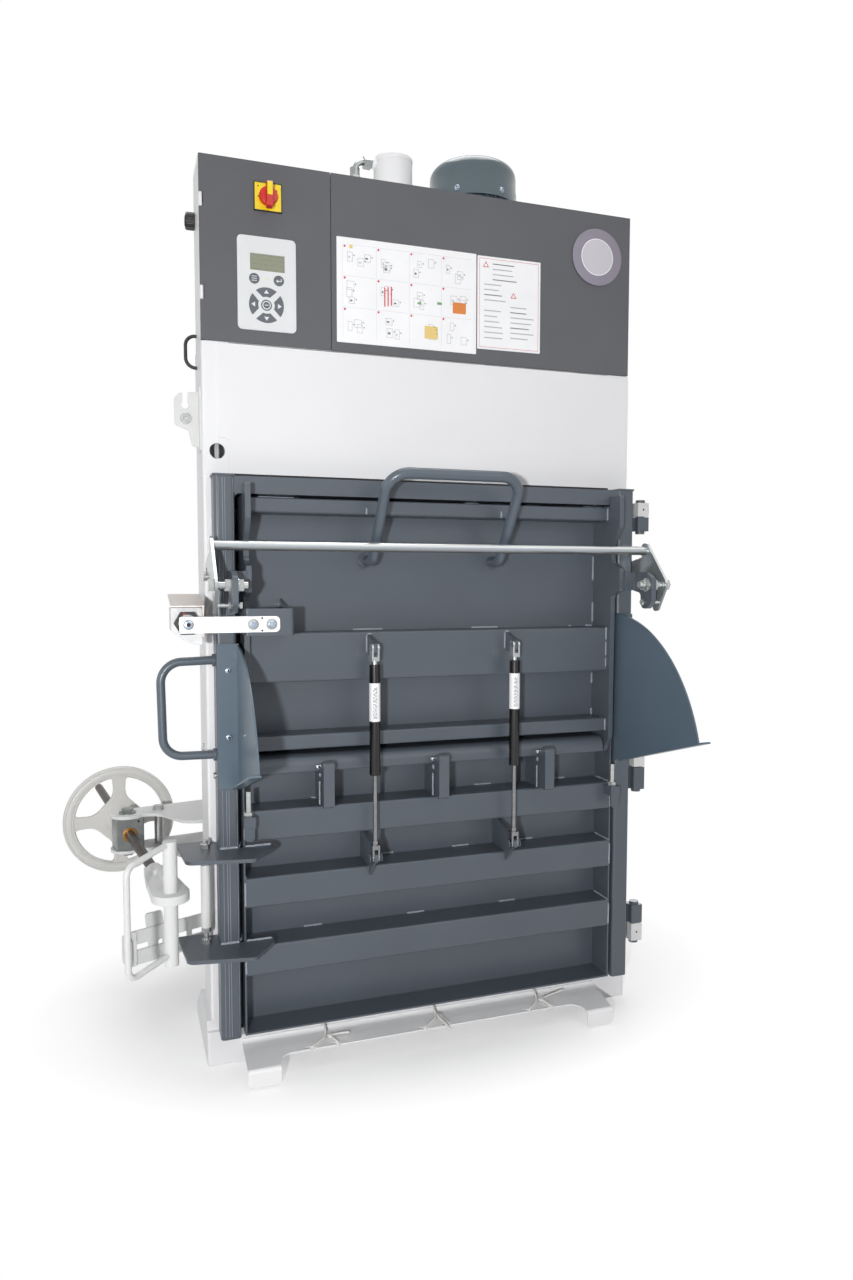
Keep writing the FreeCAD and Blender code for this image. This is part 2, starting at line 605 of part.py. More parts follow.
def lock_arms():
    px, py = LOCK_PIVOT
    tail = [(-WALL_OUT, 262), (-WALL_OUT, 500), (-HALF - 20, 486, 40), (px, py + ARM_END_R), (px, py - ARM_END_R),
            (-HALF - 104, 402, 50), (-HALF - 35, 283, 50)]
    plates = []
    for z in (ARM_LOW_Z, ARM_TOP_Z):
        arm = plate_z(tail, z, z + ARM_T).fuse(rod_z(z, z + ARM_T, px, py, ARM_END_R))
        arm = arm.cut(rod_z(z - 1, z + ARM_T + 1, px, py, PIVOT_R + RUN_FIT))
        arm = arm.cut(rod_z(z - 1, z + ARM_T + 1, SPACER[0], SPACER[1], SPACER_R))
        plates.append(arm.removeSplitter())
    web = box(-WALL_OUT - 8, -WALL_OUT, 300, 460, ARM_LOW_Z + ARM_T, ARM_TOP_Z)
    store("lock_arms", [fuse(*plates, web)])


def rest_bracket():
    """Two flat bars beside the left column with an upright rest plate on them."""
    direction = V(-719 + 545, 40 - 110, 0)
    direction.normalize()
    turn = math.degrees(math.atan2(direction.y, direction.x))
    strips = []
    for z0, z1 in ((288, 320), (240, 274)):
        strips.append(box(0, 190, -2.5, 2.5, z0, z1))
    for s in (172, 36):
        strips.append(box(s, s + 12, 2.5, 7.5, 240, 320))
    end = plate_x([(-22, 244, 12), (22, 244, 12), (22, 312, 12), (-22, 312, 12)], 190, 195)
    rest = plate_y([(90, 244), (136, 244), (146, 352, 6), (106, 352, 6)], -7.5, -2.5)
    rest = rest.cut(plate_y([(104, 254, 5), (116, 254, 5), (116, 284, 5), (104, 284, 5)], -9, 0))
    body = fuse(*strips, end, rest)
    body.rotate(V(0, 0, 0), V(0, 0, 1), turn)
    body.translate(V(-HALF - 3, 112, 0))
    foot = box(-HALF - 5, -HALF, 76, 144, 236, 324)
    store("rest_bracket", [fuse(body, foot)])


def strap_plate():
    z0, z1 = PLATE_TOP - 3, PLATE_TOP
    rear = SILL_FRONT - 3
    toe_y = -143.0
    fold_y = toe_y + 10
    front = PLATE_FRONT
    outline = [(-472, SILL_FRONT), (-476, fold_y), (-402, fold_y), (-402, front, 36), (366, front, 36),
               (366, fold_y), (438, fold_y), (456, SILL_FRONT)]
    plate = plate_z(outline, z0, z1)
    cove = box(-472, 455, rear - 9, SILL_FRONT, z1, z1 + 10)
    cove = cove.cut(rod_x(-480, 480, rear - 9, z1 + 9, 9)).cut(box(-480, 480, rear - 10, rear, z1 + 9, z1 + 11))
    plate = fuse(plate, cove)
    for x in STRAP_X:
        for middle in (x + HOOKS[0], x + HOOKS[1]):
            notch = plate_z([(middle - 6, front - 1), (middle + 6, front - 1), (middle + 6, front + 12, 3),
                             (middle - 6, front + 12, 3)], z0 - 5, z1 + 1)
            slit = box(middle - 18, middle, front + 7, front + 12, z0 - 5, z1 + 1)
            plate = plate.cut(notch).cut(slit)
    for x0, x1 in ((-476, -402), (366, 438)):
        toe = plate_x([(fold_y + 2, z1), (toe_y, z1, 9), (toe_y, 4), (toe_y + 3, 4), (toe_y + 3, z0, 6),
                       (fold_y + 2, z0)], x0, x1)
        toe = toe.common(plate_y([(x0, 4, 12), (x1, 4, 12), (x1, z1), (x0, z1)], toe_y, fold_y + 2))
        plate = plate.fuse(toe)
    store("strap_plate", [plate.removeSplitter()])


def hinge_frame_leaves():
    x, y = HINGE_AXIS
    half = HINGE_BLOCK / 2
    leaves = []
    for _, (z0, z1) in HINGE_LEAVES:
        leaf = fuse(box(x - half, x + half, y - half, y + half, z0, z1),
                    box(HALF, x, y + half, 62, z0, z1).cut(box(HALF + 14, x + 1, 12, 70, z0 - 1, z1 + 1)))
        leaves.append(leaf.cut(rod_z(z0 - 1, z1 + 1, x, y, HINGE_PIN_R + RUN_FIT)))
    store("hinge_leaves_frame", leaves)


def safety_switch():
    body = plate_y([(-HALF - 80, 1064, 3), (-HALF - 80, 1014, 12), (-HALF - 48, 990, 10), (-HALF - 17, 984, 4),
                    (-HALF - 17, 1064, 3)], -112, -38)
    head = hexagon("y", -HALF - 48, 1032, -128, -112, 48)
    store("safety_switch", [body, head])
    roof = plate_x([(-130, 1066), (-130, 1069), (-30, 1092), (-30, 1089)], -HALF - 82, -HALF - 13)
    cheek = plate_x([(-128, 1002), (60, 1002, 6), (60, 1066, 6), (-30, 1092), (-130, 1069)], -HALF - 17, -HALF - 14)
    boss = rod_x(-HALF - 14, -HALF, 38, 1034, 9)
    store("switch_guard", [fuse(roof, cheek, boss)])


def frame_fasteners():
    px, py = LOCK_PIVOT
    pieces = []
    x, y = SPACER
    spacer = fuse(rod_z(ARM_LOW_Z - 12, ARM_TOP_Z + ARM_T, x, y, SPACER_R),
                  rod_z(ARM_TOP_Z + ARM_T, ARM_TOP_Z + ARM_T + 2, x, y, 16),
                  hexagon("z", x, y, ARM_TOP_Z + ARM_T + 2, ARM_TOP_Z + ARM_T + 11, 24))
    pieces.append(spacer)
    for z in (1483.0,):
        eye = rod_y(28, 36, -HALF - 33, z, 12).cut(rod_y(27, 37, -HALF - 33, z, 5))
        pieces.append(eye)
    for y, z in ((70, 737), (76, 721), (20, 1046)):
        pieces.append(rod_x(-HALF - 4, -HALF, y, z, 4.5))
    for z in (1300, 650, 190):
        pieces.append(rod_x(HALF, HALF + 5, 90, z, 7))
    x, y = CYL_XY
    for k in range(6):
        a = math.radians(60 * k + 30)
        pieces.append(hexagon("z", x + 76 * math.cos(a), y + 76 * math.sin(a), CROSSHEAD_TOP + 25,
                              CROSSHEAD_TOP + 37, 19))
    store("frame_fasteners", pieces)


# ---------------------------------------------------------------- cabinet door
def cabinet_door():
    x1 = SPLIT_X - COVER_GAP / 2
    plate = box(-HALF + 4, x1, 0, SHEET_T, CABINET_Z0, BODY_H)
    rim = box(-HALF + 14, x1 - 8, SHEET_T, 9, CABINET_Z0 + 5, BODY_H - 5)
    rim = rim.cut(box(-HALF + 16, x1 - 10, 0, 10, CABINET_Z0 + 7, BODY_H - 7))
    roll = rod_z(CABINET_Z0, BODY_H, -HALF + 4, 4, 4)
    body = fuse(plate, rim, roll)
    for z in KNUCKLE_Z:
        body = body.cut(box(-HALF - 1, -HALF + 9, -1, 9, z - 0.5, z + 30.5))
    for z in KNUCKLE_Z:
        body = body.fuse(rod_z(z - 5, z + 35, -HALF + 4, 4, 2 - RUN_FIT))
    body = body.removeSplitter()
    sx, sz = SWITCH
    body = body.cut(rod_y(-5, 12, sx, sz, 12))
    store("cabinet_door", [body])
    x0, x1, z0, z1 = KEYPAD
    pad = plate_y([(x0, z0, 10), (x1, z0, 10), (x1, z1, 10), (x0, z1, 10)], -3, 0)
    pad = pad.cut(box(x0 + 28, x1 - 25, -4, -2, z1 - 0.36 * (z1 - z0), z1 - 0.18 * (z1 - z0)))
    store("keypad", [pad])
    legend = box(sx - 30.5, sx + 30.5, -3.5, 0, sz - 30.5, sz + 30.5)
    legend = legend.makeFillet(5, edges_along(legend, V(0, 1, 0)))
    legend = legend.cut(rod_y(-5, 1, sx, sz, 8 + RUN_FIT))
    store("switch_plate", [legend])
    disc = rod_y(-16, -3.8, sx, sz, 25)
    bar = plate_y([(sx - 7.5, sz - 22.5, 6), (sx + 7.5, sz - 22.5, 6), (sx + 7.5, sz + 22.5, 6),
                   (sx - 7.5, sz + 22.5, 6)], -34, -16)
    stem = rod_y(-16, 6, sx, sz, 8)
    store("switch_knob", [fuse(disc, bar, stem)])


# ---------------------------------------------------------------- bale door
def door_frame():
    post = box(POST_IN, DOOR_HALF, DOOR_FRONT, DOOR_BACK, DOOR_Z0, DOOR_Z1)
    post = post.makeFillet(POST_R, edges_along(post, V(0, 0, 1)))
    post = post.cut(box(POST_IN + DOOR_T, DOOR_HALF - DOOR_T, DOOR_FRONT + DOOR_T, DOOR_BACK - DOOR_T,
                        DOOR_Z0 - 1, DOOR_Z1 + 1))
    rail = box(-POST_IN, POST_IN, DOOR_FRONT, DOOR_BACK, DOOR_Z1 - RAIL_H, DOOR_Z1)
    rail = rail.cut(box(-POST_IN - 1, POST_IN + 1, DOOR_FRONT + DOOR_T, DOOR_BACK - DOOR_T,
                        DOOR_Z1 - RAIL_H + DOOR_T, DOOR_Z1 - DOOR_T))
    ends = [box(s * (POST_IN - 12), s * (POST_IN + 2), DOOR_FRONT, DOOR_BACK, DOOR_Z1 - RAIL_H, DOOR_Z1)
            for s in SIDES]
    cap = plate_z([(POST_IN - 1, DOOR_FRONT - 2, 2), (DOOR_HALF + 3, DOOR_FRONT - 2, 9),
                   (DOOR_HALF + 3, DOOR_BACK + 2, 9), (POST_IN - 1, DOOR_BACK + 2, 2)],
                  DOOR_Z1, DOOR_Z1 + 4)
    under = DOOR_Z1 - RAIL_H
    for s in SIDES:
        corner = box(s * (POST_IN - 10), s * POST_IN, DOOR_FRONT, DOOR_BACK, under - 10, under)
        ends.append(corner.cut(rod_y(DOOR_FRONT - 1, DOOR_BACK + 1, s * (POST_IN - 10), under - 10, 10)))
    strip = box(TRAY_HALF, DOOR_HALF - POST_R, DOOR_BACK, DOOR_BACK + 4, DOOR_Z0 + 4, TRAY_Z1)
    body = fuse(post, mirror(post), rail, *both(cap), *both(strip), *ends)
    for side in SIDES:
        body = body.cut(rod_x(side * POST_IN - 8, side * POST_IN + 8, FLAP_AXIS[0], FLAP_AXIS[1], 4))
    store("door_frame", [body])


def door_skin():
    sheet = box(-TRAY_HALF, TRAY_HALF, TRAY_SHEET_Y, TRAY_SHEET_Y + DOOR_T, DOOR_Z0 + 2, TRAY_Z1)
    side = box(TRAY_IN, TRAY_HALF, DOOR_FRONT + 3, TRAY_SHEET_Y, DOOR_Z0 + 2, TRAY_Z1)
    foot = box(-TRAY_IN, TRAY_IN, DOOR_FRONT + 3, TRAY_SHEET_Y, DOOR_Z0 + 2, DOOR_Z0 + 2 + DOOR_T)
    skin = fuse(sheet, foot, *both(side))
    for s in SIDES:
        skin = skin.cut(rod_x(s * TRAY_IN - 6, s * TRAY_HALF + 6, FLAP_AXIS[0], FLAP_AXIS[1], FLAP_PIN_R))
    store("door_skin", [skin])


def door_beams():
    beams = []
    for index, (z0, height) in enumerate(BEAM_Z):
        half = FLAP_IN - 8 if index == 0 else TRAY_IN
        z1 = z0 + height
        top_r = 26.0 if index == 0 else 5.0
        outer = plate_x([(TRAY_SHEET_Y, z0), (TRAY_SHEET_Y, z1), (DOOR_FRONT, z1, top_r),
                         (DOOR_FRONT, z0, 5)], -half, half)
        inner = plate_x([(TRAY_SHEET_Y + 1, z0 + 4), (TRAY_SHEET_Y + 1, z1 - 4),
                         (DOOR_FRONT + 4, z1 - 4, top_r - 4), (DOOR_FRONT + 4, z0 + 4)],
                        -half + (4 if index == 0 else -1), half - (4 if index == 0 else -1))
        beam = outer.cut(inner)
        if index == 0:
            for s in SIDES:
                beam = beam.cut(rod_x(s * (half - 5), s * (half + 1), FLAP_AXIS[0], FLAP_AXIS[1],
                                      FLAP_PIN_R))
        beams.append(beam)
    store("door_beams", beams)


def lock_lugs():
    sx, sy = LUG_STUD
    lugs = []
    for z in LUG_Z:
        lug = plate_z([(-DOOR_HALF - 87, 10, 6), (-DOOR_HALF - 76, -135, 20), (-DOOR_HALF + 66, -160, 12),
                       (-DOOR_HALF + 119, -84, 8), (-DOOR_HALF + 119, DOOR_FRONT), (-DOOR_HALF, DOOR_FRONT),
                       (-DOOR_HALF, DOOR_BACK), (-DOOR_HALF - 23, DOOR_BACK), (-DOOR_HALF - 23, 10)],
                      z, z + LUG_T)
        lugs.append(lug.cut(rod_z(z - 1, z + LUG_T + 1, sx, sy, 6)))
    store("lock_lugs", lugs)


def lug_spacer():
    """Stud, sleeve and nuts that hold the two lock lugs apart."""
    sx, sy = LUG_STUD
    sleeve = rod_z(LUG_Z[1] + LUG_T + 36, LUG_Z[0] - 12, sx, sy, 9).cut(
        rod_z(LUG_Z[1], LUG_Z[0] + 20, sx, sy, 6))
    stud = rod_z(LUG_Z[1] - 14, LUG_Z[0] + LUG_T + 18, sx, sy, 6)
    nuts = [hexagon("z", sx, sy, z, z + 10, 19) for z in
            (LUG_Z[1] + LUG_T, LUG_Z[1] + LUG_T + 24, LUG_Z[1] - 11, LUG_Z[0] - 12, LUG_Z[0] + LUG_T)]
    nuts = [nut.cut(rod_z(LUG_Z[1] - 20, LUG_Z[0] + 40, sx, sy, 6)) for nut in nuts]
    nuts[1].translate(V(0, 0, 2))
    return [sleeve, stud] + nuts


def grip_handle():
    rod = bent_rod([(-DOOR_HALF - 3, -35, 945), (-DOOR_HALF - 117, -35, 942), (-DOOR_HALF - 113, -35, 735),
                    (-DOOR_HALF - 3, -35, 733)],
                   9.5, [46, 42])
    collars = [rod_x(-DOOR_HALF - 6, -DOOR_HALF, -35, z, 14) for z in (945, 733)]
    store("grip_handle", [fuse(rod, *collars)])


def cheek(side, radius, top):
    """Side guard of the filling flap: a sector with a flange on the post and a folded lower lip."""
    cy, cz = CHEEK_CENTRE
    tip = math.radians(CHEEK_LIP_ANGLE)
    start = math.acos((DOOR_FRONT - cy) / -radius)
    top_z = cz + radius * math.sin(start)
    mid = (tip + start) / 2
    p_top = V(0, DOOR_FRONT, top_z)
    p_mid = V(0, cy - radius * math.cos(mid), cz + radius * math.sin(mid))
    p_tip = V(0, cy - radius * math.cos(tip), cz + radius * math.sin(tip))
    low_z = cz + (cy - DOOR_FRONT) * math.tan(tip)
    p_low = V(0, DOOR_FRONT, low_z)
    wire = Part.Wire([Part.Arc(p_top, p_mid, p_tip).toShape(), Part.LineSegment(p_tip, p_low).toShape(),
                      Part.LineSegment(p_low, p_top).toShape()])
    face = Part.Face(wire)
    face.translate(V(CHEEK_IN, 0, 0))
    plate = face.extrude(V(CHEEK_T, 0, 0))
    flange = box(CHEEK_IN + CHEEK_T, DOOR_HALF - 2, DOOR_FRONT - CHEEK_T, DOOR_FRONT, low_z, top)
    web = box(CHEEK_IN, CHEEK_IN + CHEEK_T, DOOR_FRONT - CHEEK_T, DOOR_FRONT, low_z, top)
    length = (radius * math.cos(tip) - (cy - DOOR_FRONT)) / math.cos(tip)
    lip = box(CHEEK_IN, CHEEK_IN + CHEEK_T + CHEEK_LIP, -length - 14, -22, -CHEEK_T, 0)
    lip.rotate(V(0, 0, 0), V(1, 0, 0), -CHEEK_LIP_ANGLE)
    lip.translate(V(0, DOOR_FRONT, low_z))
    body = fuse(plate, flange, web, lip)
    return body if side > 0 else mirror(body)


def cheeks():
    left = cheek(-1, CHEEK_R[0], 983)
    right = cheek(1, CHEEK_R[1], 1037)
    store("side_cheeks", [left, right])


def strap_claws():
    claws = []
    for x in STRAP_X:
        web = plate_x([(TRAY_SHEET_Y, 604), (TRAY_SHEET_Y, 684), (DOOR_FRONT, 684), (-104, 684),
                       (-104, 612), (DOOR_FRONT, 604)], x - 5, x + 5)
        front = plate_x([(DOOR_FRONT, 684), (DOOR_FRONT, 701), (-84, 701, 5), (-101, 716, 6), (-114, 708, 8),
                         (-114, 608, 7), (-100, 608, 4), (-100, 684, 4)], x - 12.5, x + 12.5)
        claws.append(fuse(web, front))
    for side in SIDES:
        x = side * (POST_IN - 19)
        block = box(x - 13, x + 13, -103, DOOR_FRONT, 576, 600)
        tongue = plate_y([(x - 11, 545, 9), (x + 11, 545, 9), (x + 11, 576), (x - 11, 576)], -101, -95)
        claws.append(fuse(block, tongue))
    store("strap_claws", claws)


def door_spring_brackets():
    fy, fz = SPRING_FOOT
    brackets = []
    for side in SIDES:
        x = side * SPRING_X
        z3 = BEAM_Z[2][0] + BEAM_Z[2][1]
        plate = plate_x([(TRAY_SHEET_Y, z3), (DOOR_FRONT, z3), (DOOR_FRONT, z3 - 22), (fy + 2, fz - 15, 8),
                         (fy - 13, fz - 8, 8), (fy - 13, fz + 8, 8), (fy + 6, fz + 14, 10),
                         (TRAY_SHEET_Y, z3 + 82)], x - SPRING_BRACKET_T / 2, x + SPRING_BRACKET_T / 2)
        pin = rod_x(x - 14, x + 14, fy, fz, FORK_PIN_R)
        heads = [rod_x(x + s * 12.5, x + s * 15, fy, fz, 10.5) for s in SIDES]
        brackets.append(fuse(plate, pin, *heads))
    store("spring_brackets_door", brackets)


def hinge_door_leaves():
    x, y = HINGE_AXIS
    half = HINGE_BLOCK / 2
    leaves = []
    for (z0, z1), (f0, f1) in HINGE_LEAVES:
        low, high = min(z0, f0 - 0.4), max(z1, f1 + 0.4)
        leaf = fuse(box(x - half, x + half, y - half, y + half, z0, z1),
                    box(DOOR_HALF, x, y + half - 14, y + half, z0, z1),
                    rod_z(low - HINGE_HEAD, high + HINGE_HEAD, x, y, HINGE_PIN_R),
                    rod_z(low - HINGE_HEAD, low, x, y, HINGE_PIN_R + 2),
                    rod_z(high, high + HINGE_HEAD, x, y, HINGE_PIN_R + 2))
        leaves.append(leaf)
    store("hinge_leaves_door", leaves)


def door_fasteners():
    ay, az = FLAP_AXIS
    pieces = lug_spacer()
    for side in SIDES:
        pin = fuse(rod_x(side * (FLAP_IN - 12), side * POST_IN, ay, az, FLAP_PIN_R))
        pieces.append(pin)
        catch = fuse(rod_x(side * DOOR_HALF, side * (DOOR_HALF + 22), CATCH_PIN[0], CATCH_PIN[1], CATCH_PIN_R),
                     rod_x(side * (DOOR_HALF + 17), side * (DOOR_HALF + 22), CATCH_PIN[0], CATCH_PIN[1], 10))
        pieces.append(catch)
    for side in SIDES:
        for z in (924, 776):
            pieces.append(rod_y(DOOR_FRONT - CHEEK_T - 4, DOOR_FRONT - CHEEK_T, side * (POST_IN + 20), z, 6.5))
    pieces.append(rod_x(-DOOR_HALF - 6, -DOOR_HALF, -30, 684, 7))
    for x in STRAP_X:
        pieces.append(rod_x(x - 24, x - 12.5, -84, 700, 4.5))
    for side in SIDES:
        x = side * (POST_IN - 19)
        pieces.append(fuse(rod_z(600, 655, x, -84, 6), hexagon("z", x, -84, 600, 609, 19)))
    store("door_fasteners", pieces)


# ---------------------------------------------------------------- filling flap
def flap_panel():
    half = FLAP_IN
    sheet = box(-half, half, FLAP_SHEET_Y, FLAP_SHEET_Y + DOOR_T, FLAP_Z0, FLAP_Z1)
    rails = []
    for z0, height in FLAP_RAILS:
        outer = plate_x([(FLAP_SHEET_Y, z0), (FLAP_SHEET_Y, z0 + height), (FLAP_FRONT, z0 + height, 5),
                         (FLAP_FRONT, z0, 5)], -half, half)
        inner = box(-half - 1, half + 1, FLAP_FRONT + 4, FLAP_SHEET_Y + 1, z0 + 4, z0 + height - 4)
        rails.append(outer.cut(inner))
    store("flap_panel", [fuse(sheet, *rails)])


def flap_side_plates():
    ay, az = FLAP_AXIS
    top = FLAP_Z1 + 3
    horn = DOOR_FRONT - 4
    outline = [(TRAY_SHEET_Y, FLAP_Z0), (TRAY_SHEET_Y, top), (horn, top), (horn, top + 23), (-117, top + 23, 8), (-117, 1255, 14),
               (-82, 1212, 20), (-80, 1168, 14), (-120, 1152, 10), (-120, 1097, 10), (-80, 1084, 12),
               (-77, 720, 20), (ay - 24, az), (ay, az), (ay + 24, az)]
    plate = plate_x(outline, FLAP_IN, FLAP_HALF).fuse(rod_x(FLAP_IN, FLAP_HALF, ay, az, 24))
    plate = plate.cut(rod_x(FLAP_IN - 1, FLAP_HALF + 1, ay, az, FLAP_PIN_R + RUN_FIT)).removeSplitter()
    store("flap_side_plates", both(plate))


def flap_handle():
    x = 161.0
    points = [(-x, FLAP_SHEET_Y, 1168), (-x, -44, 1168), (-x, -172, 1358), (x, -172, 1358),
              (x, -44, 1168), (x, FLAP_SHEET_Y, 1168)]
    store("flap_handle", [bent_rod(points, HANDLE_R, [26, 50, 50, 26])])


def switch_bracket():
    x0, x1 = -FLAP_HALF - 6, -FLAP_HALF + 98
    front = plate_z([(x1, FLAP_SHEET_Y), (x1, -147, 8), (x0, -147, 4), (x0, -30), (-FLAP_HALF, -30),
                     (-FLAP_HALF, -141), (x1 - 6, -141, 2), (x1 - 6, FLAP_SHEET_Y)], 1004, 1062)
    left, right = -HALF - 66, -FLAP_HALF + 66
    bar = plate_y([(left, 1012, 3), (left, 1046, 3), (right, 1046, 10), (right, 1012, 10)], -153, -147)
    store("actuator_bar", [bar])
    return [front]


def latch_brackets():
    py, pz = BAIL_PIVOT
    x0 = LATCH_PLATE_X
    x1 = x0 + LATCH_PLATE_T
    flange = box(FLAP_HALF, FLAP_HALF + 8, -118, -62, 1098, 1142)
    web = box(FLAP_HALF, x1, -126, -118, 1098, 1142)
    plate = plate_x([(-118, 1098, 8), (-118, 1142), (-176, 1142, 12), (-203, 1128, 12), (-203, 1072, 14),
                     (-182, 1054, 12), (-158, 1054, 12), (-152, 1092, 10)], x0, x1)
    bracket = fuse(flange, web, plate).cut(rod_x(x0 - 1, x1 + 1, py, pz, BAIL_BOLT_R))
    bracket = bracket.cut(rod_x(x0 - 1, x1 + 1, -174, 1070, 4))
    return both(bracket)


def flap_spring_brackets():
    ty, tz = SPRING_TOP
    brackets = []
    for side in SIDES:
        x = side * SPRING_X
        plate = plate_x([(FLAP_FRONT, tz - 18), (ty - 8, tz - 14, 8), (ty - 10, tz + 10, 8),
                         (FLAP_FRONT, tz + 30)], x - SPRING_BRACKET_T / 2, x + SPRING_BRACKET_T / 2)
        pin = rod_x(x - 14, x + 14, ty, tz, FORK_PIN_R)
        brackets.append(fuse(plate, pin))
    return brackets


def flap_fasteners():
    py, pz = BAIL_PIVOT
    x0 = LATCH_PLATE_X
    x1 = x0 + LATCH_PLATE_T
    pieces = []
    for side in SIDES:
        bolt = fuse(rod_x(side * (x0 - 22), side * (LEVER_X + LEVER_T + 0.3), py, pz, BAIL_BOLT_R),
                    hexagon("x", py, pz, side * (LEVER_X + LEVER_T + 0.3), side * (LEVER_X + 18), 24),
                    hexagon("x", py, pz, side * (x0 - 13), side * x0, 24),
                    hexagon("x", py, pz, side * x1, side * (x1 + 13), 24),
                    rod_x(side * (x0 - 3), side * x0, py, pz, 17))
        pieces.append(bolt)
        stop = fuse(rod_x(side * (x0 - 11), side * (LEVER_X - 0.5), -174, 1070, 4),
                    hexagon("x", -174, 1070, side * (x0 - 11), side * (x0 - 5), 13),
                    hexagon("x", -174, 1070, side * x1, side * (x1 + 6), 13))
        pieces.append(stop)
    for x in (-FLAP_HALF + 9, -FLAP_HALF + 48):
        pieces.append(fuse(hexagon("y", x, 1029, -160, -153, 18), rod_y(-155, -153, x, 1029, 12)))
    pieces.append(rod_y(-155, -153, -HALF - 48, 1030, 11))
    store("flap_fasteners", pieces)


# ---------------------------------------------------------------- bail
def bail():
    ry, rz = BAIL_ROD
    py, pz = BAIL_PIVOT
    x0 = LEVER_X
    x1 = LEVER_X + LEVER_T
    cross = rod_x(-x0, x0, ry, rz, BAIL_R)
    arm = plate_x([(-182, 1128), (-108, 1184), (-66, 1176, 6), (-30, 1168, 10), (-6, 1158, 8), (-6, 1140, 3),
                   (-22, 1140, 3), (-22, 1150, 5), (-43, 1150, 5), (-43, 1122, 6), (-70, 1112, 10),
                   (-120, 1104, 14), (-172, 1094)], x0, x1)
    lever = fuse(bar_x(BAIL_PIVOT, 20, BAIL_ROD, 19, x0, x1), bar_x(BAIL_PIVOT, 20, BAIL_TAIL, 13, x0, x1),
                 arm)
    lever = lever.cut(rod_x(x0 - 1, x1 + 1, py, pz, BAIL_BOLT_R + RUN_FIT))
    lever = lever.cut(rod_x(x0 - 1, x1 + 1, -76, 1186, 9)).removeSplitter()
    store("latch_bail", [fuse(cross, *both(lever))])


# ---------------------------------------------------------------- gas springs
def fork(x, y, z, away, reach, hole):
    """Fork with two ears round a bracket plate; away is +1 when its neck points up."""
    gap = SPRING_BRACKET_T / 2 + 0.4
    ears = []
    for s in SIDES:
        ear = fuse(rod_x(x + s * gap, x + s * (gap + 4.5), y, z, FORK_R),
                   box(x + s * gap, x + s * (gap + 4.5), y - 10, y + 10, z, z + away * (reach - 8)))
        ears.append(ear.cut(rod_x(x - 20, x + 20, y, z, hole)))
    neck_a, neck_b = sorted((z + away * (reach - 10), z + away * reach))
    bridge = box(x - gap - 4.5, x + gap + 4.5, y - 10, y + 10, neck_a, neck_b)
    return fuse(bridge, *ears)


def gas_spring(side, label):
    x = side * SPRING_X
    ty, tz = SPRING_TOP
    fy, fz = SPRING_FOOT
    z0, z1 = SPRING_TUBE_Z
    tube = rod_z(z0, z1, x, ty, SPRING_TUBE_R)
    tube = tube.makeFillet(2.5, [e for e in tube.Edges if not isinstance(e.Curve, Part.Line)])
    tube = tube.cut(rod_z(z0 + 18, z1 - 12, x, ty, SPRING_TUBE_R - 2))
    tube = tube.cut(rod_z(z0 - 1, z0 + 19, x, ty, SPRING_SEAL_R))
    top = fork(x, ty, tz, -1, tz - z1 - 8, FORK_PIN_R + RUN_FIT)
    neck = rod_z(z1 - 1, z1 + 9, x, ty, 7)
    store("spring_tube_" + label, [fuse(tube, neck, top)])
    rod = rod_z(fz + 30, z0 + 30, x, fy, SPRING_ROD_R)
    piston = rod_z(z0 + 22, z0 + 34, x, fy, SPRING_PISTON_R)
    low = fork(x, fy, fz, 1, 30, FORK_PIN_R + RUN_FIT)
    store("spring_rod_" + label, [fuse(rod, piston, low, rod_z(fz + 29, fz + 40, x, fy, 7))])


# ---------------------------------------------------------------- screw lock
def lock_place(shape):
    """Put a piece modelled with its pull direction along -y at the lock pivot."""
    shape.rotate(V(0, 0, 0), V(0, 0, 1), LOCK_ANGLE)
    shape.translate(V(LOCK_PIVOT[0], LOCK_PIVOT[1], SPINDLE_Z))
    return shape


def swivel_block():
    half = BLOCK / 2
    h = BLOCK_H / 2
    block = box(-half, half, -half, half, -h, h)
    block = block.makeFillet(3, edges_along(block, V(0, 0, 1)))
    block = block.cut(rod_y(-half - 1, half + 1, 0, 0, SPINDLE_R + RUN_FIT))
    top = h + ARM_GAP + ARM_T + ARM_GAP
    pins = [rod_z(h - 1, top + 3, 0, 0, PIVOT_R), rod_z(-top - 3, -h + 1, 0, 0, PIVOT_R),
            rod_z(top, top + 3, 0, 0, 22), hexagon("z", 0, 0, top + 3, top + 12, 26),
            rod_z(-top - 3, -top, 0, 0, 22), hexagon("z", 0, 0, -top - 12, -top - 3, 26)]
    ring = rod_y(-half - 3, -half, 0, 0, 18).cut(rod_y(-half - 4, -half + 1, 0, 0, SPINDLE_R + RUN_FIT))
    store("swivel_block", [lock_place(fuse(block, *pins)), lock_place(ring)])


def wheel_window(turn):
    """Opening between two spokes: straight beside them, hollowed out round the hub, rounded at the rim."""
    inner = WHEEL_R - WHEEL_RIM_W
    corners = [(18, inner, 9), (15, 68, 45), (68, 15, 45), (inner, 18, 9)]
    rim = [(inner + 4) * math.cos(math.radians(a)) for a in (20, 38, 52, 70)]
    corners += [(r, (inner + 4) * math.sin(math.radians(a))) for r, a in zip(rim, (20, 38, 52, 70))]
    half = WHEEL_WEB_T / 2 + 1
    window = plate_y(corners, WHEEL_BACK - half, WHEEL_BACK + half)
    window.rotate(V(0, 0, 0), V(0, 1, 0), turn)
    return window


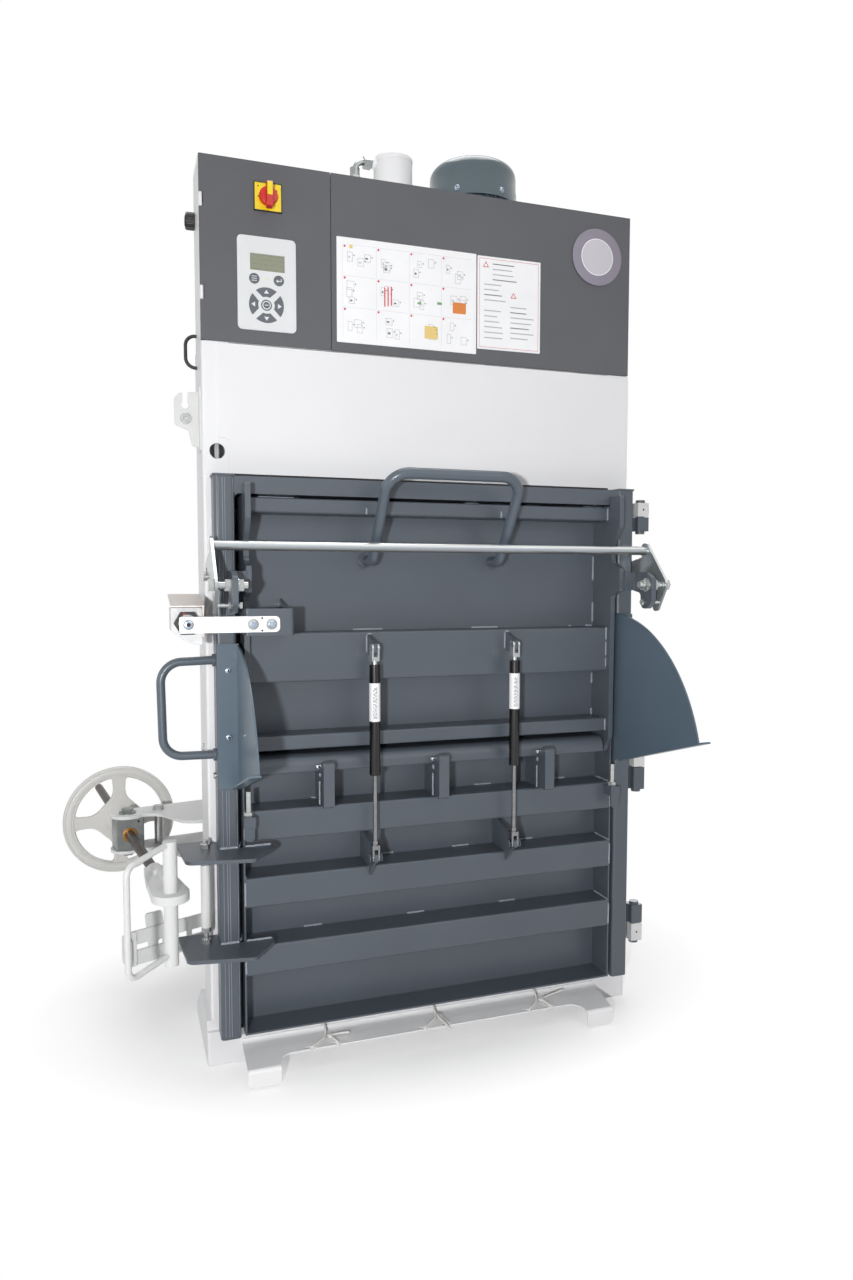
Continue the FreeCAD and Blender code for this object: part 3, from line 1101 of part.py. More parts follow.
def handwheel():
    back = BLOCK / 2 + 0.4
    hub = rod_y(back, WHEEL_BACK + 22, 0, 0, 27)
    boss = Part.makeCone(40, 28, 22, V(0, WHEEL_BACK - WHEEL_WEB_T / 2, 0), V(0, -1, 0))
    middle = WHEEL_R - WHEEL_RIM_W / 2
    section = Part.Wire([Part.Ellipse(V(0, 0, 0), WHEEL_RIM_W / 2, WHEEL_RIM_T / 2).toShape()])
    section.translate(V(middle, WHEEL_BACK, 0))
    rim = Part.Face(section).revolve(V(0, 0, 0), V(0, 1, 0), 360)
    ridges = [Part.makeTorus(middle + s * 10.5, 1.8, V(0, WHEEL_BACK + face * 9.0, 0), V(0, 1, 0))
              for s in SIDES for face in SIDES]
    web = rod_y(WHEEL_BACK - WHEEL_WEB_T / 2, WHEEL_BACK + WHEEL_WEB_T / 2, 0, 0, middle)
    for turn in (0, 90, 180, 270):
        web = web.cut(wheel_window(turn))
    faces = (WHEEL_BACK - WHEEL_WEB_T / 2, WHEEL_BACK + WHEEL_WEB_T / 2)
    rounded = [e for e in web.Edges if min(abs(e.BoundBox.YMin - f) + abs(e.BoundBox.YMax - f) for f in faces) < 0.01
               and e.BoundBox.DiagonalLength < 1.9 * middle]
    web = web.makeFillet(3.5, rounded)
    wheel = fuse(hub, boss, rim, web, *ridges)
    wheel = wheel.cut(rod_y(back - 1, WHEEL_BACK + 40, 0, 0, SPINDLE_R + RUN_FIT))
    store("handwheel", [lock_place(wheel)])


def spindle():
    start = -EYE_REACH + 150
    screw = rod_y(start, SPINDLE_BACK, 0, 0, SPINDLE_R)
    plate = plate_z([(-32, start - 45), (-EYE_R, -EYE_REACH), (EYE_R, -EYE_REACH), (32, start - 45),
                     (22, start + 42, 10), (-22, start + 42, 10)], -EYE_T / 2, EYE_T / 2)
    eye = rod_z(-EYE_T / 2, EYE_T / 2, 0, -EYE_REACH, EYE_R)
    socket = rod_y(start - 20, start + 34, 0, 0, 19)
    rib = box(-5, 5, -EYE_REACH + EYE_R, start - 10, EYE_T / 2 - 1, EYE_T / 2 + 16)
    head = fuse(plate, eye, socket, rib)
    head = head.cut(rod_z(-EYE_T, EYE_T, 0, -EYE_REACH, PULL_TUBE_R))
    head = head.cut(rod_y(start, SPINDLE_BACK, 0, 0, SPINDLE_R))
    store("lock_spindle", [lock_place(screw)])
    z0 = PULL_TUBE_Z[0] - SPINDLE_Z
    z1 = PULL_TUBE_Z[1] - SPINDLE_Z
    tube = rod_z(z0, z1, 0, -EYE_REACH, PULL_TUBE_R)
    tube = tube.cut(rod_z(z0 + 6, z1 - 4, 0, -EYE_REACH, PULL_TUBE_R - 3))
    x, y = -100.0, -EYE_REACH - 72.0
    rod = bent_rod([(-8, -EYE_REACH - 6, z1 - 6), (x, y, z1 - 24), (x, y, z0 + 12),
                    (-8, -EYE_REACH - 6, z0 + 24)], 6.5, [22, 22])
    tube = fuse(tube, rod).cut(rod_z(z0 + 6, z1 - 4, 0, -EYE_REACH, PULL_TUBE_R - 3))
    store("pull_handle", [lock_place(head), lock_place(tube)])


# ---------------------------------------------------------------- strap ends
CORD_R = 2.75
LYING = PLATE_TOP + CORD_R
HOOK_Y = PLATE_FRONT + 6
CORD_OUT = [(0, 26, 76), (0, -13, 76), (3, -29, 66), (4, -43, 54), (-2, -54, LYING), (-16, -68, LYING)]
CORD_ROUND = [(HOOKS[0], HOOK_Y, LYING), (HOOKS[0], HOOK_Y, PLATE_TOP - 7.5), (HOOKS[1], HOOK_Y, PLATE_TOP - 7.5),
              (HOOKS[1], HOOK_Y, LYING)]
CORD_TAILS = {
    "left": [(11, -58, 51), (30, -56, 53), (57, -60, 53)],
    "middle": [(13, -54, 52), (-1, -47, 60), (16, -122, 50)],
    "right": [(11, -56, 51), (32, -48, 54), (84, -36, 57)],
}


def strap_ends():
    for index, label in enumerate(("left", "middle", "right")):
        points = [(STRAP_X[index] + p[0], p[1], p[2]) for p in CORD_OUT + CORD_ROUND + CORD_TAILS[label]]
        radii = []
        for i in range(1, len(points) - 1):
            here = V(*points[i])
            before = V(*points[i - 1]) - here
            after = V(*points[i + 1]) - here
            turn = math.pi - before.getAngle(after)
            radii.append(min(60, 0.45 * min(before.Length, after.Length) / math.tan(turn / 2)))
        print("cord", label, "bend radii", [round(r, 1) for r in radii])
        cord = bent_rod(points, CORD_R, radii)
        store("strap_end_" + label, [cord])


def build():
    base_frame()
    floor_plate()
    columns()
    side_walls()
    rear_wall()
    crosshead()
    front_panel()
    control_cabinet()
    control_gear()
    right_cover()
    cylinder()
    platen()
    hydraulics()
    motor()
    side_fittings()
    lock_arms()
    rest_bracket()
    strap_plate()
    hinge_frame_leaves()
    safety_switch()
    frame_fasteners()
    cabinet_door()
    door_frame()
    door_skin()
    door_beams()
    lock_lugs()
    grip_handle()
    cheeks()
    strap_claws()
    door_spring_brackets()
    hinge_door_leaves()
    door_fasteners()
    flap_panel()
    flap_side_plates()
    flap_handle()
    store("flap_brackets", switch_bracket() + latch_brackets() + flap_spring_brackets())
    flap_fasteners()
    bail()
    gas_spring(-1, "left")
    gas_spring(1, "right")
    swivel_block()
    handwheel()
    spindle()
    strap_ends()


build()
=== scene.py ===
"""Looks of an upright recycling baler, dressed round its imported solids.

Drawing sizes are millimetres, as on a shop drawing: x to the operator's right, y into the machine
from the front of its columns, z up from the floor. at() turns a drawing point into the frame's metres.
Colours are written as 0 to 255 on screen; light() turns them into what a shader takes.
"""
from __future__ import annotations

import enum
import logging
import math
import random
from dataclasses import dataclass
from typing import Callable, Iterable, Optional, Sequence, Union

import bmesh
import bpy
from mathutils import Matrix, Vector

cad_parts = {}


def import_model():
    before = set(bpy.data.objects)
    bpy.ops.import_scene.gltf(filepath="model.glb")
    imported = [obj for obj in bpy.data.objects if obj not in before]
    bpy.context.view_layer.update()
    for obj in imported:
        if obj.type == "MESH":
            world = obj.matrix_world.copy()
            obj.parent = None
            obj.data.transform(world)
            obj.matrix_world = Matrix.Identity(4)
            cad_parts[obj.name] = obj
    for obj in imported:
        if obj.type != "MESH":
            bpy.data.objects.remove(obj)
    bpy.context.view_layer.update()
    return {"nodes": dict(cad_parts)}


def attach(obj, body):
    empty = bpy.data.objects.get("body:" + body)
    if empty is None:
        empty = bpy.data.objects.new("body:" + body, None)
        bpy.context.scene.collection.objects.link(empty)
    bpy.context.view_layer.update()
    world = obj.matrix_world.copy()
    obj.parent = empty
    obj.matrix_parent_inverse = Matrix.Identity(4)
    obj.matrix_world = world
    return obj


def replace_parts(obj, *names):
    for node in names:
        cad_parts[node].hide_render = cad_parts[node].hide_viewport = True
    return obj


LOG = logging.getLogger("baler")
BODY_DEPTH = 660.0
SHARP_ANGLE = 38.0
FULL_WHITE = (1.0, 1.0, 1.0, 1.0)
PRINT_LOW, PRINT_HIGH = 0.6, 0.8
STRAP_LINES = (-284.0, -8.0, 268.0)
Point = Sequence[float]
Colour = tuple[float, float, float]


def at(x: float, y: float, z: float) -> Vector:
    """A drawing point in the frame's metres."""
    return Vector((x, y - BODY_DEPTH / 2, z)) / 1000


def light(colour: Colour) -> tuple[float, float, float, float]:
    """A colour read as 0 to 255 on screen, as the linear colour that a shader takes."""
    knee, slope, lift, power = 0.04045, 12.92, 0.055, 2.4
    parts = [c / 255 for c in colour]
    return (*[p / slope if p <= knee else ((p + lift) / (1 + lift)) ** power for p in parts], 1.0)


# ------------------------------------------------------------------ shader maths
class Wire:
    """A shader socket that takes part in arithmetic."""

    def __init__(self, shader: "Shader", socket: bpy.types.NodeSocket) -> None:
        """Keeps the socket and the shader it belongs to."""
        self.shader = shader
        self.socket = socket

    def _maths(self, operation: str, *values: Union["Wire", float], clamp: bool = False) -> "Wire":
        """Adds one Math node.

        Args:
            operation: the Math node's operation.
            values: its inputs in order, wires or numbers.
            clamp: whether the result stays between 0 and 1.

        Returns:
            The node's result.
        """
        return self.shader.add("ShaderNodeMath", {"operation": operation, "use_clamp": clamp},
                               dict(enumerate(values)))

    def __add__(self, other: Union["Wire", float]) -> "Wire":
        """Sum."""
        return self._maths("ADD", self, other)

    __radd__ = __add__

    def __sub__(self, other: Union["Wire", float]) -> "Wire":
        """Difference."""
        return self._maths("SUBTRACT", self, other)

    def __rsub__(self, other: Union["Wire", float]) -> "Wire":
        """Difference from a number."""
        return self._maths("SUBTRACT", other, self)

    def __mul__(self, other: Union["Wire", float]) -> "Wire":
        """Product."""
        return self._maths("MULTIPLY", self, other)

    __rmul__ = __mul__

    def __truediv__(self, other: Union["Wire", float]) -> "Wire":
        """Quotient."""
        return self._maths("DIVIDE", self, other)

    def sine(self) -> "Wire":
        """Sine of an angle in radians."""
        return self._maths("SINE", self)

    def kept(self) -> "Wire":
        """The value held between 0 and 1."""
        return self._maths("ADD", self, 0.0, clamp=True)

    def past(self, edge: float, soft: float) -> "Wire":
        """A mask that rises from 0 to 1 across an edge.

        Args:
            edge: where the mask reaches a half.
            soft: width of the rise.

        Returns:
            The mask.
        """
        return ((self - (edge - soft / 2)) / soft).kept()


class Shader:
    """One material, or the world, and the nodes that make it."""

    def __init__(self, owner: Union[bpy.types.Material, bpy.types.World]) -> None:
        """Empties the owner's nodes."""
        self.owner = owner
        owner.use_nodes = True
        self.nodes = owner.node_tree.nodes
        self.links = owner.node_tree.links
        self.nodes.clear()

    def add(self, kind: str, settings: Optional[dict] = None, values: Optional[dict] = None,
            output: Union[int, str] = 0) -> Optional[Wire]:
        """Adds any node.

        Args:
            kind: the node's type.
            settings: its attributes, set first.
            values: a wire or a constant for each input, by name or number.
            output: which output is returned.

        Returns:
            The chosen output, or nothing from a node that has none.
        """
        node = self.nodes.new(kind)
        for key, value in (settings or {}).items():
            setattr(node, key, value)
        for key, value in (values or {}).items():
            if isinstance(value, Wire):
                self.links.new(value.socket, node.inputs[key])
            else:
                node.inputs[key].default_value = value
        return Wire(self, node.outputs[output]) if len(node.outputs) else None

    def place(self) -> Wire:
        """The place on the piece, which moves with it."""
        return self.add("ShaderNodeTexCoord", output="Object")

    def stretched(self, x: float, y: float, z: float) -> Wire:
        """The place on the piece with each direction scaled."""
        return self.add("ShaderNodeVectorMath", {"operation": "MULTIPLY"}, {0: self.place(), 1: (x, y, z)})

    def along(self, axis: int) -> Wire:
        """One coordinate of the place on the piece, in metres."""
        return self.add("ShaderNodeSeparateXYZ", values={0: self.place()}, output=axis)

    def facing(self, axis: int) -> Wire:
        """How far the surface faces along one axis, from -1 to 1."""
        normal = self.add("ShaderNodeNewGeometry", output="Normal")
        return self.add("ShaderNodeSeparateXYZ", values={0: normal}, output=axis)

    def noise(self, scale: float, detail: float = 2.0, vector: Optional[Wire] = None) -> Wire:
        """Soft noise between 0 and 1.

        Args:
            scale: waves in a metre.
            detail: how many finer layers it has.
            vector: where it is read, the place on the piece if left out.

        Returns:
            The noise.
        """
        return self.add("ShaderNodeTexNoise", values={"Vector": vector or self.place(), "Scale": scale,
                                                      "Detail": detail, "Roughness": 0.55})

    def mix(self, factor: Union[Wire, float], first: Union[Wire, Colour], second: Union[Wire, Colour]) -> Wire:
        """Mixes two colours, given as wires or as 0 to 255 colours.

        Args:
            factor: share of the second.
            first: colour at 0.
            second: colour at 1.

        Returns:
            The mixed colour.
        """
        a = first if isinstance(first, Wire) else light(first)
        b = second if isinstance(second, Wire) else light(second)
        return self.add("ShaderNodeMix", {"data_type": "RGBA"}, {0: factor, 6: a, 7: b}, 2)

    def shaded(self, colour: Colour, amount: float, scale: float) -> Wire:
        """A colour that drifts a little lighter and darker over a surface.

        Args:
            colour: the middle colour, 0 to 255.
            amount: share that it drifts each way.
            scale: drifts in a metre.

        Returns:
            The drifting colour.
        """
        low = tuple(c * (1 - amount) for c in colour)
        high = tuple(min(255.0, c * (1 + amount)) for c in colour)
        return self.mix(self.noise(scale, 3.0).past(0.5, 0.45), low, high)

    def bumped(self, height: Wire, distance: float, edge: float = 0.0) -> Wire:
        """A normal from a height, over edges that look slightly rounded.

        Args:
            height: 0 to 1 over the surface.
            distance: the height of 1, in metres.
            edge: how round the edges look, in metres.

        Returns:
            The normal.
        """
        values = {"Strength": 1.0, "Distance": distance, "Height": height}
        if edge:
            values["Normal"] = self.add("ShaderNodeBevel", {"samples": 4}, {"Radius": edge})
        return self.add("ShaderNodeBump", values=values)

    def done(self, **values: Union[Wire, float, tuple]) -> bpy.types.Material:
        """Ends the material in one Principled surface.

        Args:
            values: its inputs, with underscores for spaces.

        Returns:
            The material.
        """
        surface = self.add("ShaderNodeBsdfPrincipled", values={k.replace("_", " "): v for k, v in values.items()})
        self.add("ShaderNodeOutputMaterial", values={"Surface": surface})
        return self.owner


# ------------------------------------------------------------------ finishes
class Finish:
    """Something that a surface can be finished with."""

    made: dict["Finish", bpy.types.Material] = {}

    def material(self) -> bpy.types.Material:
        """The material of this finish, made once."""
        if self not in Finish.made:
            Finish.made[self] = self.make(Shader(bpy.data.materials.new(self.name)))
        return Finish.made[self]

    def make(self, shader: Shader) -> bpy.types.Material:
        """Makes the material."""
        raise NotImplementedError


@dataclass(frozen=True)
class PowderCoat(Finish):
    """Powder-coated steel: an even colour with a fine peel and slightly rounded edges."""

    name: str
    colour: Colour
    roughness: float = 0.42
    drift: float = 0.03
    peel: float = 0.00006
    edge: float = 0.0012
    haze: float = 0.12
    peel_scale: float = 520.0
    haze_scale: float = 7.0
    drift_scale: float = 5.0

    def make(self, shader: Shader) -> bpy.types.Material:
        """Makes the coat."""
        peel = shader.noise(self.peel_scale)
        haze = shader.noise(self.haze_scale, 4.0)
        return shader.done(Base_Color=shader.shaded(self.colour, self.drift, self.drift_scale),
                           Roughness=self.roughness + self.haze * (haze - 0.5),
                           Normal=shader.bumped(peel, self.peel, self.edge))


@dataclass(frozen=True)
class Zinc(Finish):
    """Zinc-plated steel: bright and faintly mottled."""

    name: str
    colour: Colour
    roughness: float = 0.34
    edge: float = 0.0008
    mottled: float = 0.12
    metal: float = 0.95
    tooth: float = 0.00004
    mottle_scale: float = 70.0
    tooth_scale: float = 900.0

    def make(self, shader: Shader) -> bpy.types.Material:
        """Makes the plating."""
        mottle = shader.noise(self.mottle_scale, 4.0)
        base = shader.mix(mottle.past(0.5, 0.5), tuple(c * (1 - self.mottled) for c in self.colour), self.colour)
        tooth = shader.noise(self.tooth_scale)
        return shader.done(Base_Color=base, Metallic=self.metal,
                           Roughness=self.roughness + self.mottled * (mottle - 0.5),
                           Normal=shader.bumped(tooth, self.tooth, self.edge))


@dataclass(frozen=True)
class DrawnRod(Finish):
    """Bright zinc on a drawn rod, with a painted highlight band, a painted dark reflection band and a painted lighter
    reflection along the bottom edge, all set by which way the surface faces.
    """

    name: str
    colour: Colour = (170, 177, 180)
    # Colours of the painted highlight, the painted dark reflection and the painted lighter reflection at the bottom
    # edge (rim).
    painted_highlight: Colour = (236, 236, 232)
    painted_dark_reflection: Colour = (96, 94, 88)
    rim: Colour = (168, 168, 162)
    tint: Colour = (150, 148, 172)
    roughness: float = 0.22
    metal: float = 0.6
    edge: float = 0.0008
    drawn: tuple[float, float, float] = (6.0, 900.0, 900.0)
    draw_marks: float = 0.00003

    def make(self, shader: Shader) -> bpy.types.Material:
        """Makes the plating, its drawn marks and its painted highlight and reflection bands."""
        up = shader.facing(2)
        drawn = shader.noise(1.0, 3.0, shader.stretched(*self.drawn))
        # Painted light: a highlight band above the middle, a dark reflection band below it and a lighter reflection
        # along the bottom edge, from which way the surface faces.
        painted_highlight = up.past(0.34, 0.16) * (1.0 - up.past(0.7, 0.2))
        painted_dark_reflection = 1.0 - up.past(-0.42, 0.5)
        rim = 1.0 - up.past(-0.93, 0.08)
        base = shader.mix(painted_highlight, self.colour, self.painted_highlight)
        base = shader.mix(painted_dark_reflection * 0.75, base, self.painted_dark_reflection)
        base = shader.mix(rim, base, self.rim)
        base = shader.mix(shader.noise(3.0).past(0.6, 0.3) * 0.25, base, self.tint)
        return shader.done(Base_Color=base, Metallic=self.metal, Roughness=self.roughness + 0.1 * (drawn - 0.5),
                           Normal=shader.bumped(drawn, self.draw_marks, self.edge))


@dataclass(frozen=True)
class MachinedSteel(Finish):
    """Bare steel with tool marks across one axis."""

    name: str
    colour: Colour
    stain: Colour = (70, 58, 50)
    roughness: float = 0.38
    metal: float = 0.92
    edge: float = 0.0008
    pitch: float = 900.0
    blur: float = 30.0
    axis: int = 1
    tool_marks: float = 0.00005
    stained: float = 0.3
    stain_scale: float = 28.0

    def make(self, shader: Shader) -> bpy.types.Material:
        """Makes the turned or milled surface."""
        marks = shader.noise(1.0, 2.0, shader.stretched(*(self.pitch if k == self.axis else self.blur
                                                          for k in range(3))))
        stain = shader.noise(self.stain_scale, 4.0).past(0.55, 0.3) * self.stained
        base = shader.mix(stain, self.colour, self.stain)
        return shader.done(Base_Color=base, Metallic=self.metal, Roughness=self.roughness + 0.18 * (marks - 0.5),
                           Normal=shader.bumped(marks, self.tool_marks, self.edge))


@dataclass(frozen=True)
class Moulded(Finish):
    """Moulded plastic with a fine grain."""

    name: str
    colour: Colour
    roughness: float = 0.5
    grain: float = 0.00005
    grain_scale: float = 1300.0
    edge: float = 0.0006
    coat: float = 0.0

    def make(self, shader: Shader) -> bpy.types.Material:
        """Makes the plastic."""
        grain = shader.noise(self.grain_scale)
        return shader.done(Base_Color=shader.shaded(self.colour, 0.04, 30.0),
                           Roughness=self.roughness + 0.1 * (grain - 0.5), Coat_Weight=self.coat,
                           Normal=shader.bumped(grain, self.grain, self.edge))


@dataclass(frozen=True)
class Film(Finish):
    """Printed foil or paper: flat colour with a slight tooth."""

    name: str
    colour: Colour
    roughness: float = 0.45
    tooth: float = 0.00002
    tooth_scale: float = 420.0

    def make(self, shader: Shader) -> bpy.types.Material:
        """Makes the film."""
        tooth = shader.noise(self.tooth_scale)
        return shader.done(Base_Color=shader.shaded(self.colour, 0.012, 12.0),
                           Roughness=self.roughness + 0.08 * (tooth - 0.5), Normal=shader.bumped(tooth, self.tooth))


@dataclass(frozen=True)
class Halved(Finish):
    """A bought-in part whose two stretches are finished differently, parted along one axis."""

    name: str
    first: Colour
    second: Colour
    axis: int
    parted: float
    metals: tuple[float, float] = (0.0, 0.0)
    roughnesses: tuple[float, float] = (0.3, 0.3)
    parting: float = 0.0004
    edge: float = 0.0007
    grain: float = 0.00004
    grain_scale: float = 700.0

    def make(self, shader: Shader) -> bpy.types.Material:
        """Makes both finishes and the line where they meet."""
        past = shader.along(self.axis).past(self.parted, self.parting)
        grain = shader.noise(self.grain_scale)
        base = shader.mix(past, shader.shaded(self.first, 0.03, 40.0), shader.shaded(self.second, 0.05, 60.0))
        low, high = self.metals
        even, shiny = self.roughnesses
        return shader.done(Base_Color=base, Metallic=low + (high - low) * past,
                           Roughness=even + (shiny - even) * past + 0.08 * (grain - 0.5),
                           Normal=shader.bumped(grain, self.grain, self.edge))


@dataclass(frozen=True)
class Display(Finish):
    """A small liquid crystal window with faint rows of dark segments."""

    name: str
    colour: Colour = (126, 130, 106)
    segments: Colour = (84, 88, 70)
    rows: float = 620.0

    def make(self, shader: Shader) -> bpy.types.Material:
        """Makes the window."""
        rows = (shader.along(2) * self.rows).sine().past(0.72, 0.2)
        dots = shader.noise(420.0, 1.0).past(0.56, 0.04)
        base = shader.mix((rows * dots * 0.55).kept(), self.colour, self.segments)
        return shader.done(Base_Color=base, Roughness=0.22 + 0.02 * dots, Coat_Weight=0.4)


@dataclass(frozen=True)
class TwistedCord(Finish):
    """White polyester strapping cord with a tight twist."""

    name: str
    colour: Colour = (244, 242, 238)
    twist: float = 3600.0
    strands: float = 0.0003
    fuzz_scale: float = 1800.0

    def make(self, shader: Shader) -> bpy.types.Material:
        """Makes the cord's surface."""
        slant = shader.along(0) + shader.along(2) * 0.7 + shader.along(1) * 0.6
        twist = (slant * self.twist).sine() * 0.5 + 0.5
        fuzz = shader.noise(self.fuzz_scale)
        base = shader.mix(twist * 0.6 + fuzz * 0.3, self.colour, tuple(c * 0.88 for c in self.colour))
        height = twist * 0.8 + fuzz * 0.2
        return shader.done(Base_Color=base, Roughness=0.85, Normal=shader.bumped(height, self.strands))


DOOR_GREY = PowderCoat("door_grey", (80, 87, 96), roughness=0.36)
CABINET_GREY = PowderCoat("cabinet_grey", (86, 87, 91), roughness=0.5, peel=0.0001)
CHEEK_GREY = PowderCoat("cheek_grey", (85, 101, 114), roughness=0.36)
HANDLE_GREY = PowderCoat("handle_grey", (84, 93, 103), roughness=0.3)
WHITE = PowderCoat("body_white", (232, 232, 234), roughness=0.4, drift=0.006)
# A lighter copy of the body's white: on the strap plate it is painted light, brightening an upper face that gets little
# light; it also finishes the press barrel.
PLATE_WHITE = PowderCoat("plate_white", (240, 240, 241), roughness=0.4, drift=0.01)
LOCK_WHITE = PowderCoat("lock_white", (214, 215, 214), roughness=0.36, drift=0.012)
CAST_WHITE = PowderCoat("cast_white", (208, 207, 204), roughness=0.45, drift=0.015, peel=0.0002)
INSIDE = PowderCoat("chamber_grey", (112, 114, 116), roughness=0.5, drift=0.06)
MOTOR_GREY = PowderCoat("motor_enamel", (84, 98, 105), roughness=0.2, drift=0.04)
# Lighter and glossier than the grey round it: the gloss and bump are real, the lighter colour is a painted glint on the
# weld beads and the painted highlight strips on the left post.
PAINTED_GLINT = PowderCoat("painted_glint_grey", (152, 160, 170), roughness=0.1, peel=0.0008)
BRIGHT = Zinc("bright_zinc", (196, 199, 198), roughness=0.2, metal=0.8)
PIPE_ZINC = Zinc("pipe_zinc", (164, 168, 166), roughness=0.26, metal=0.9)
BLUE_ZINC = Zinc("blue_zinc", (178, 190, 204), roughness=0.22, mottled=0.08)
GUARD_ZINC = Zinc("guard_zinc", (204, 196, 190), roughness=0.34, mottled=0.06, metal=0.6)
ROD_ZINC = DrawnRod("bail_zinc")
PLATE_ZINC = Zinc("bar_aluminium", (240, 241, 244), roughness=0.4, mottled=0.02, metal=0.35)
CHROME = Zinc("chromed_rod", (150, 150, 152), roughness=0.12)
BLOCK_STEEL = MachinedSteel("block_steel", (138, 142, 141), axis=2)
SCREW_STEEL = MachinedSteel("screw_steel", (46, 39, 36), roughness=0.42, stained=0.6)
BRONZE = MachinedSteel("bronze", (176, 128, 74), roughness=0.32, stained=0.2)
BLACK = Moulded("black_plastic", (34, 34, 36))
STRUT = Halved("strut_tube", (18, 16, 17), (176, 180, 182), 2, 0.9312, (0.0, 0.95), (0.22, 0.24))
SWITCH_BODY = Halved("switch_body", (26, 26, 28), (226, 227, 228), 1, -0.4423, roughnesses=(0.3, 0.42))
SWITCH_GREY = Moulded("switch_grey", (184, 186, 186), roughness=0.4)
YELLOW = Moulded("signal_yellow", (242, 214, 0), roughness=0.35, coat=0.2)
RED = Moulded("signal_red", (200, 36, 28), roughness=0.35, coat=0.2)
KEYPAD_FOIL = Film("keypad_foil", (224, 225, 227), roughness=0.35)
KEY_GREY = Film("key_grey", (92, 97, 104), roughness=0.35)
PAPER = Film("sheet_paper", (246, 246, 248), roughness=0.3)
BADGE_VIOLET = Film("badge_violet", (142, 136, 150))
BADGE_PALE = Film("badge_pale", (206, 202, 210))
LABEL_GREY = Film("label_grey", (112, 114, 118))
LAMP_CREAM = Moulded("lamp_cream", (240, 238, 196), roughness=0.2)
SWITCH_BLACK = Moulded("switch_black", (24, 24, 24))
LCD = Display("display_window")
CORD = TwistedCord("strapping_cord")
# Near-black, mostly painted shade: it stands in for the shade in screw sockets, spare holes, louvre slits, the flap
# joint, the strap plate's notches and the gap under the front panel; it also colours the left post's cap and the
# connector's end disc.
DARK = Moulded("dark_recess", (20, 20, 22), roughness=0.7)

NODE_FINISH: dict[str, Finish] = {
    "base_frame": WHITE, "chamber_floor": INSIDE, "front_columns": WHITE, "side_walls": WHITE,
    "rear_wall": WHITE, "crosshead": WHITE, "front_panel": WHITE, "control_cabinet": WHITE,
    "control_gear": SWITCH_GREY, "right_cover": CABINET_GREY, "cylinder_barrel": LOCK_WHITE,
    "pressure_pipe": PIPE_ZINC, "oil_tank": CABINET_GREY, "pump_motor": MOTOR_GREY, "fan_cover": MOTOR_GREY,
    "side_connector": BLACK, "side_hook": LOCK_WHITE, "lock_arms": LOCK_WHITE, "rest_bracket": LOCK_WHITE,
    "strap_plate": PLATE_WHITE, "hinge_leaves_frame": LOCK_WHITE, "safety_switch": SWITCH_BODY,
    "switch_guard": GUARD_ZINC, "frame_fasteners": BRIGHT, "cabinet_door": CABINET_GREY,
    "keypad": KEYPAD_FOIL, "switch_plate": YELLOW, "switch_knob": RED, "motor_fan": BLACK,
    "press_platen": DOOR_GREY, "piston_rod": CHROME, "door_frame": DOOR_GREY, "door_skin": DOOR_GREY,
    "door_beams": DOOR_GREY, "lock_lugs": DOOR_GREY, "grip_handle": HANDLE_GREY, "side_cheeks": CHEEK_GREY,
    "strap_claws": DOOR_GREY, "spring_brackets_door": DOOR_GREY, "hinge_leaves_door": DOOR_GREY,
    "door_fasteners": BRIGHT, "flap_panel": DOOR_GREY, "flap_side_plates": DOOR_GREY,
    "flap_handle": HANDLE_GREY, "flap_brackets": DOOR_GREY, "actuator_bar": PLATE_ZINC,
    "flap_fasteners": BRIGHT, "latch_bail": ROD_ZINC, "spring_tube_left": STRUT,
    "spring_tube_right": STRUT, "spring_rod_left": CHROME, "spring_rod_right": CHROME,
    "swivel_block": BLOCK_STEEL, "handwheel": CAST_WHITE, "lock_spindle": SCREW_STEEL, "pull_handle": LOCK_WHITE,
}


# ------------------------------------------------------------------ making pieces
@dataclass(frozen=True)
class Plane:
    """A plane on the machine that details are set out on: two directions in it and one out of it."""

    origin: tuple[float, float, float] = (0.0, 0.0, 0.0)
    across: tuple[float, float, float] = (1.0, 0.0, 0.0)
    up: tuple[float, float, float] = (0.0, 0.0, 1.0)

    def point(self, u: float, v: float, w: float) -> Vector:
        """A drawing point from distances across, up and out of the plane."""
        a, b = Vector(self.across).normalized(), Vector(self.up).normalized()
        return Vector(self.origin) + a * u + b * v + a.cross(b) * w


class Side(enum.Enum):
    """The plain planes of the machine: each looks straight out of one side."""

    FRONT = Plane()
    BACK = Plane((0.0, BODY_DEPTH, 0.0), (-1.0, 0.0, 0.0))
    RIGHT = Plane((0.0, 0.0, 0.0), (0.0, 1.0, 0.0))
    TOP = Plane((0.0, 0.0, 0.0), (1.0, 0.0, 0.0), (0.0, 1.0, 0.0))


class Drive(enum.Enum):
    """How a screw's head is made."""

    HEXAGON = "hexagon"
    SOCKET = "socket"


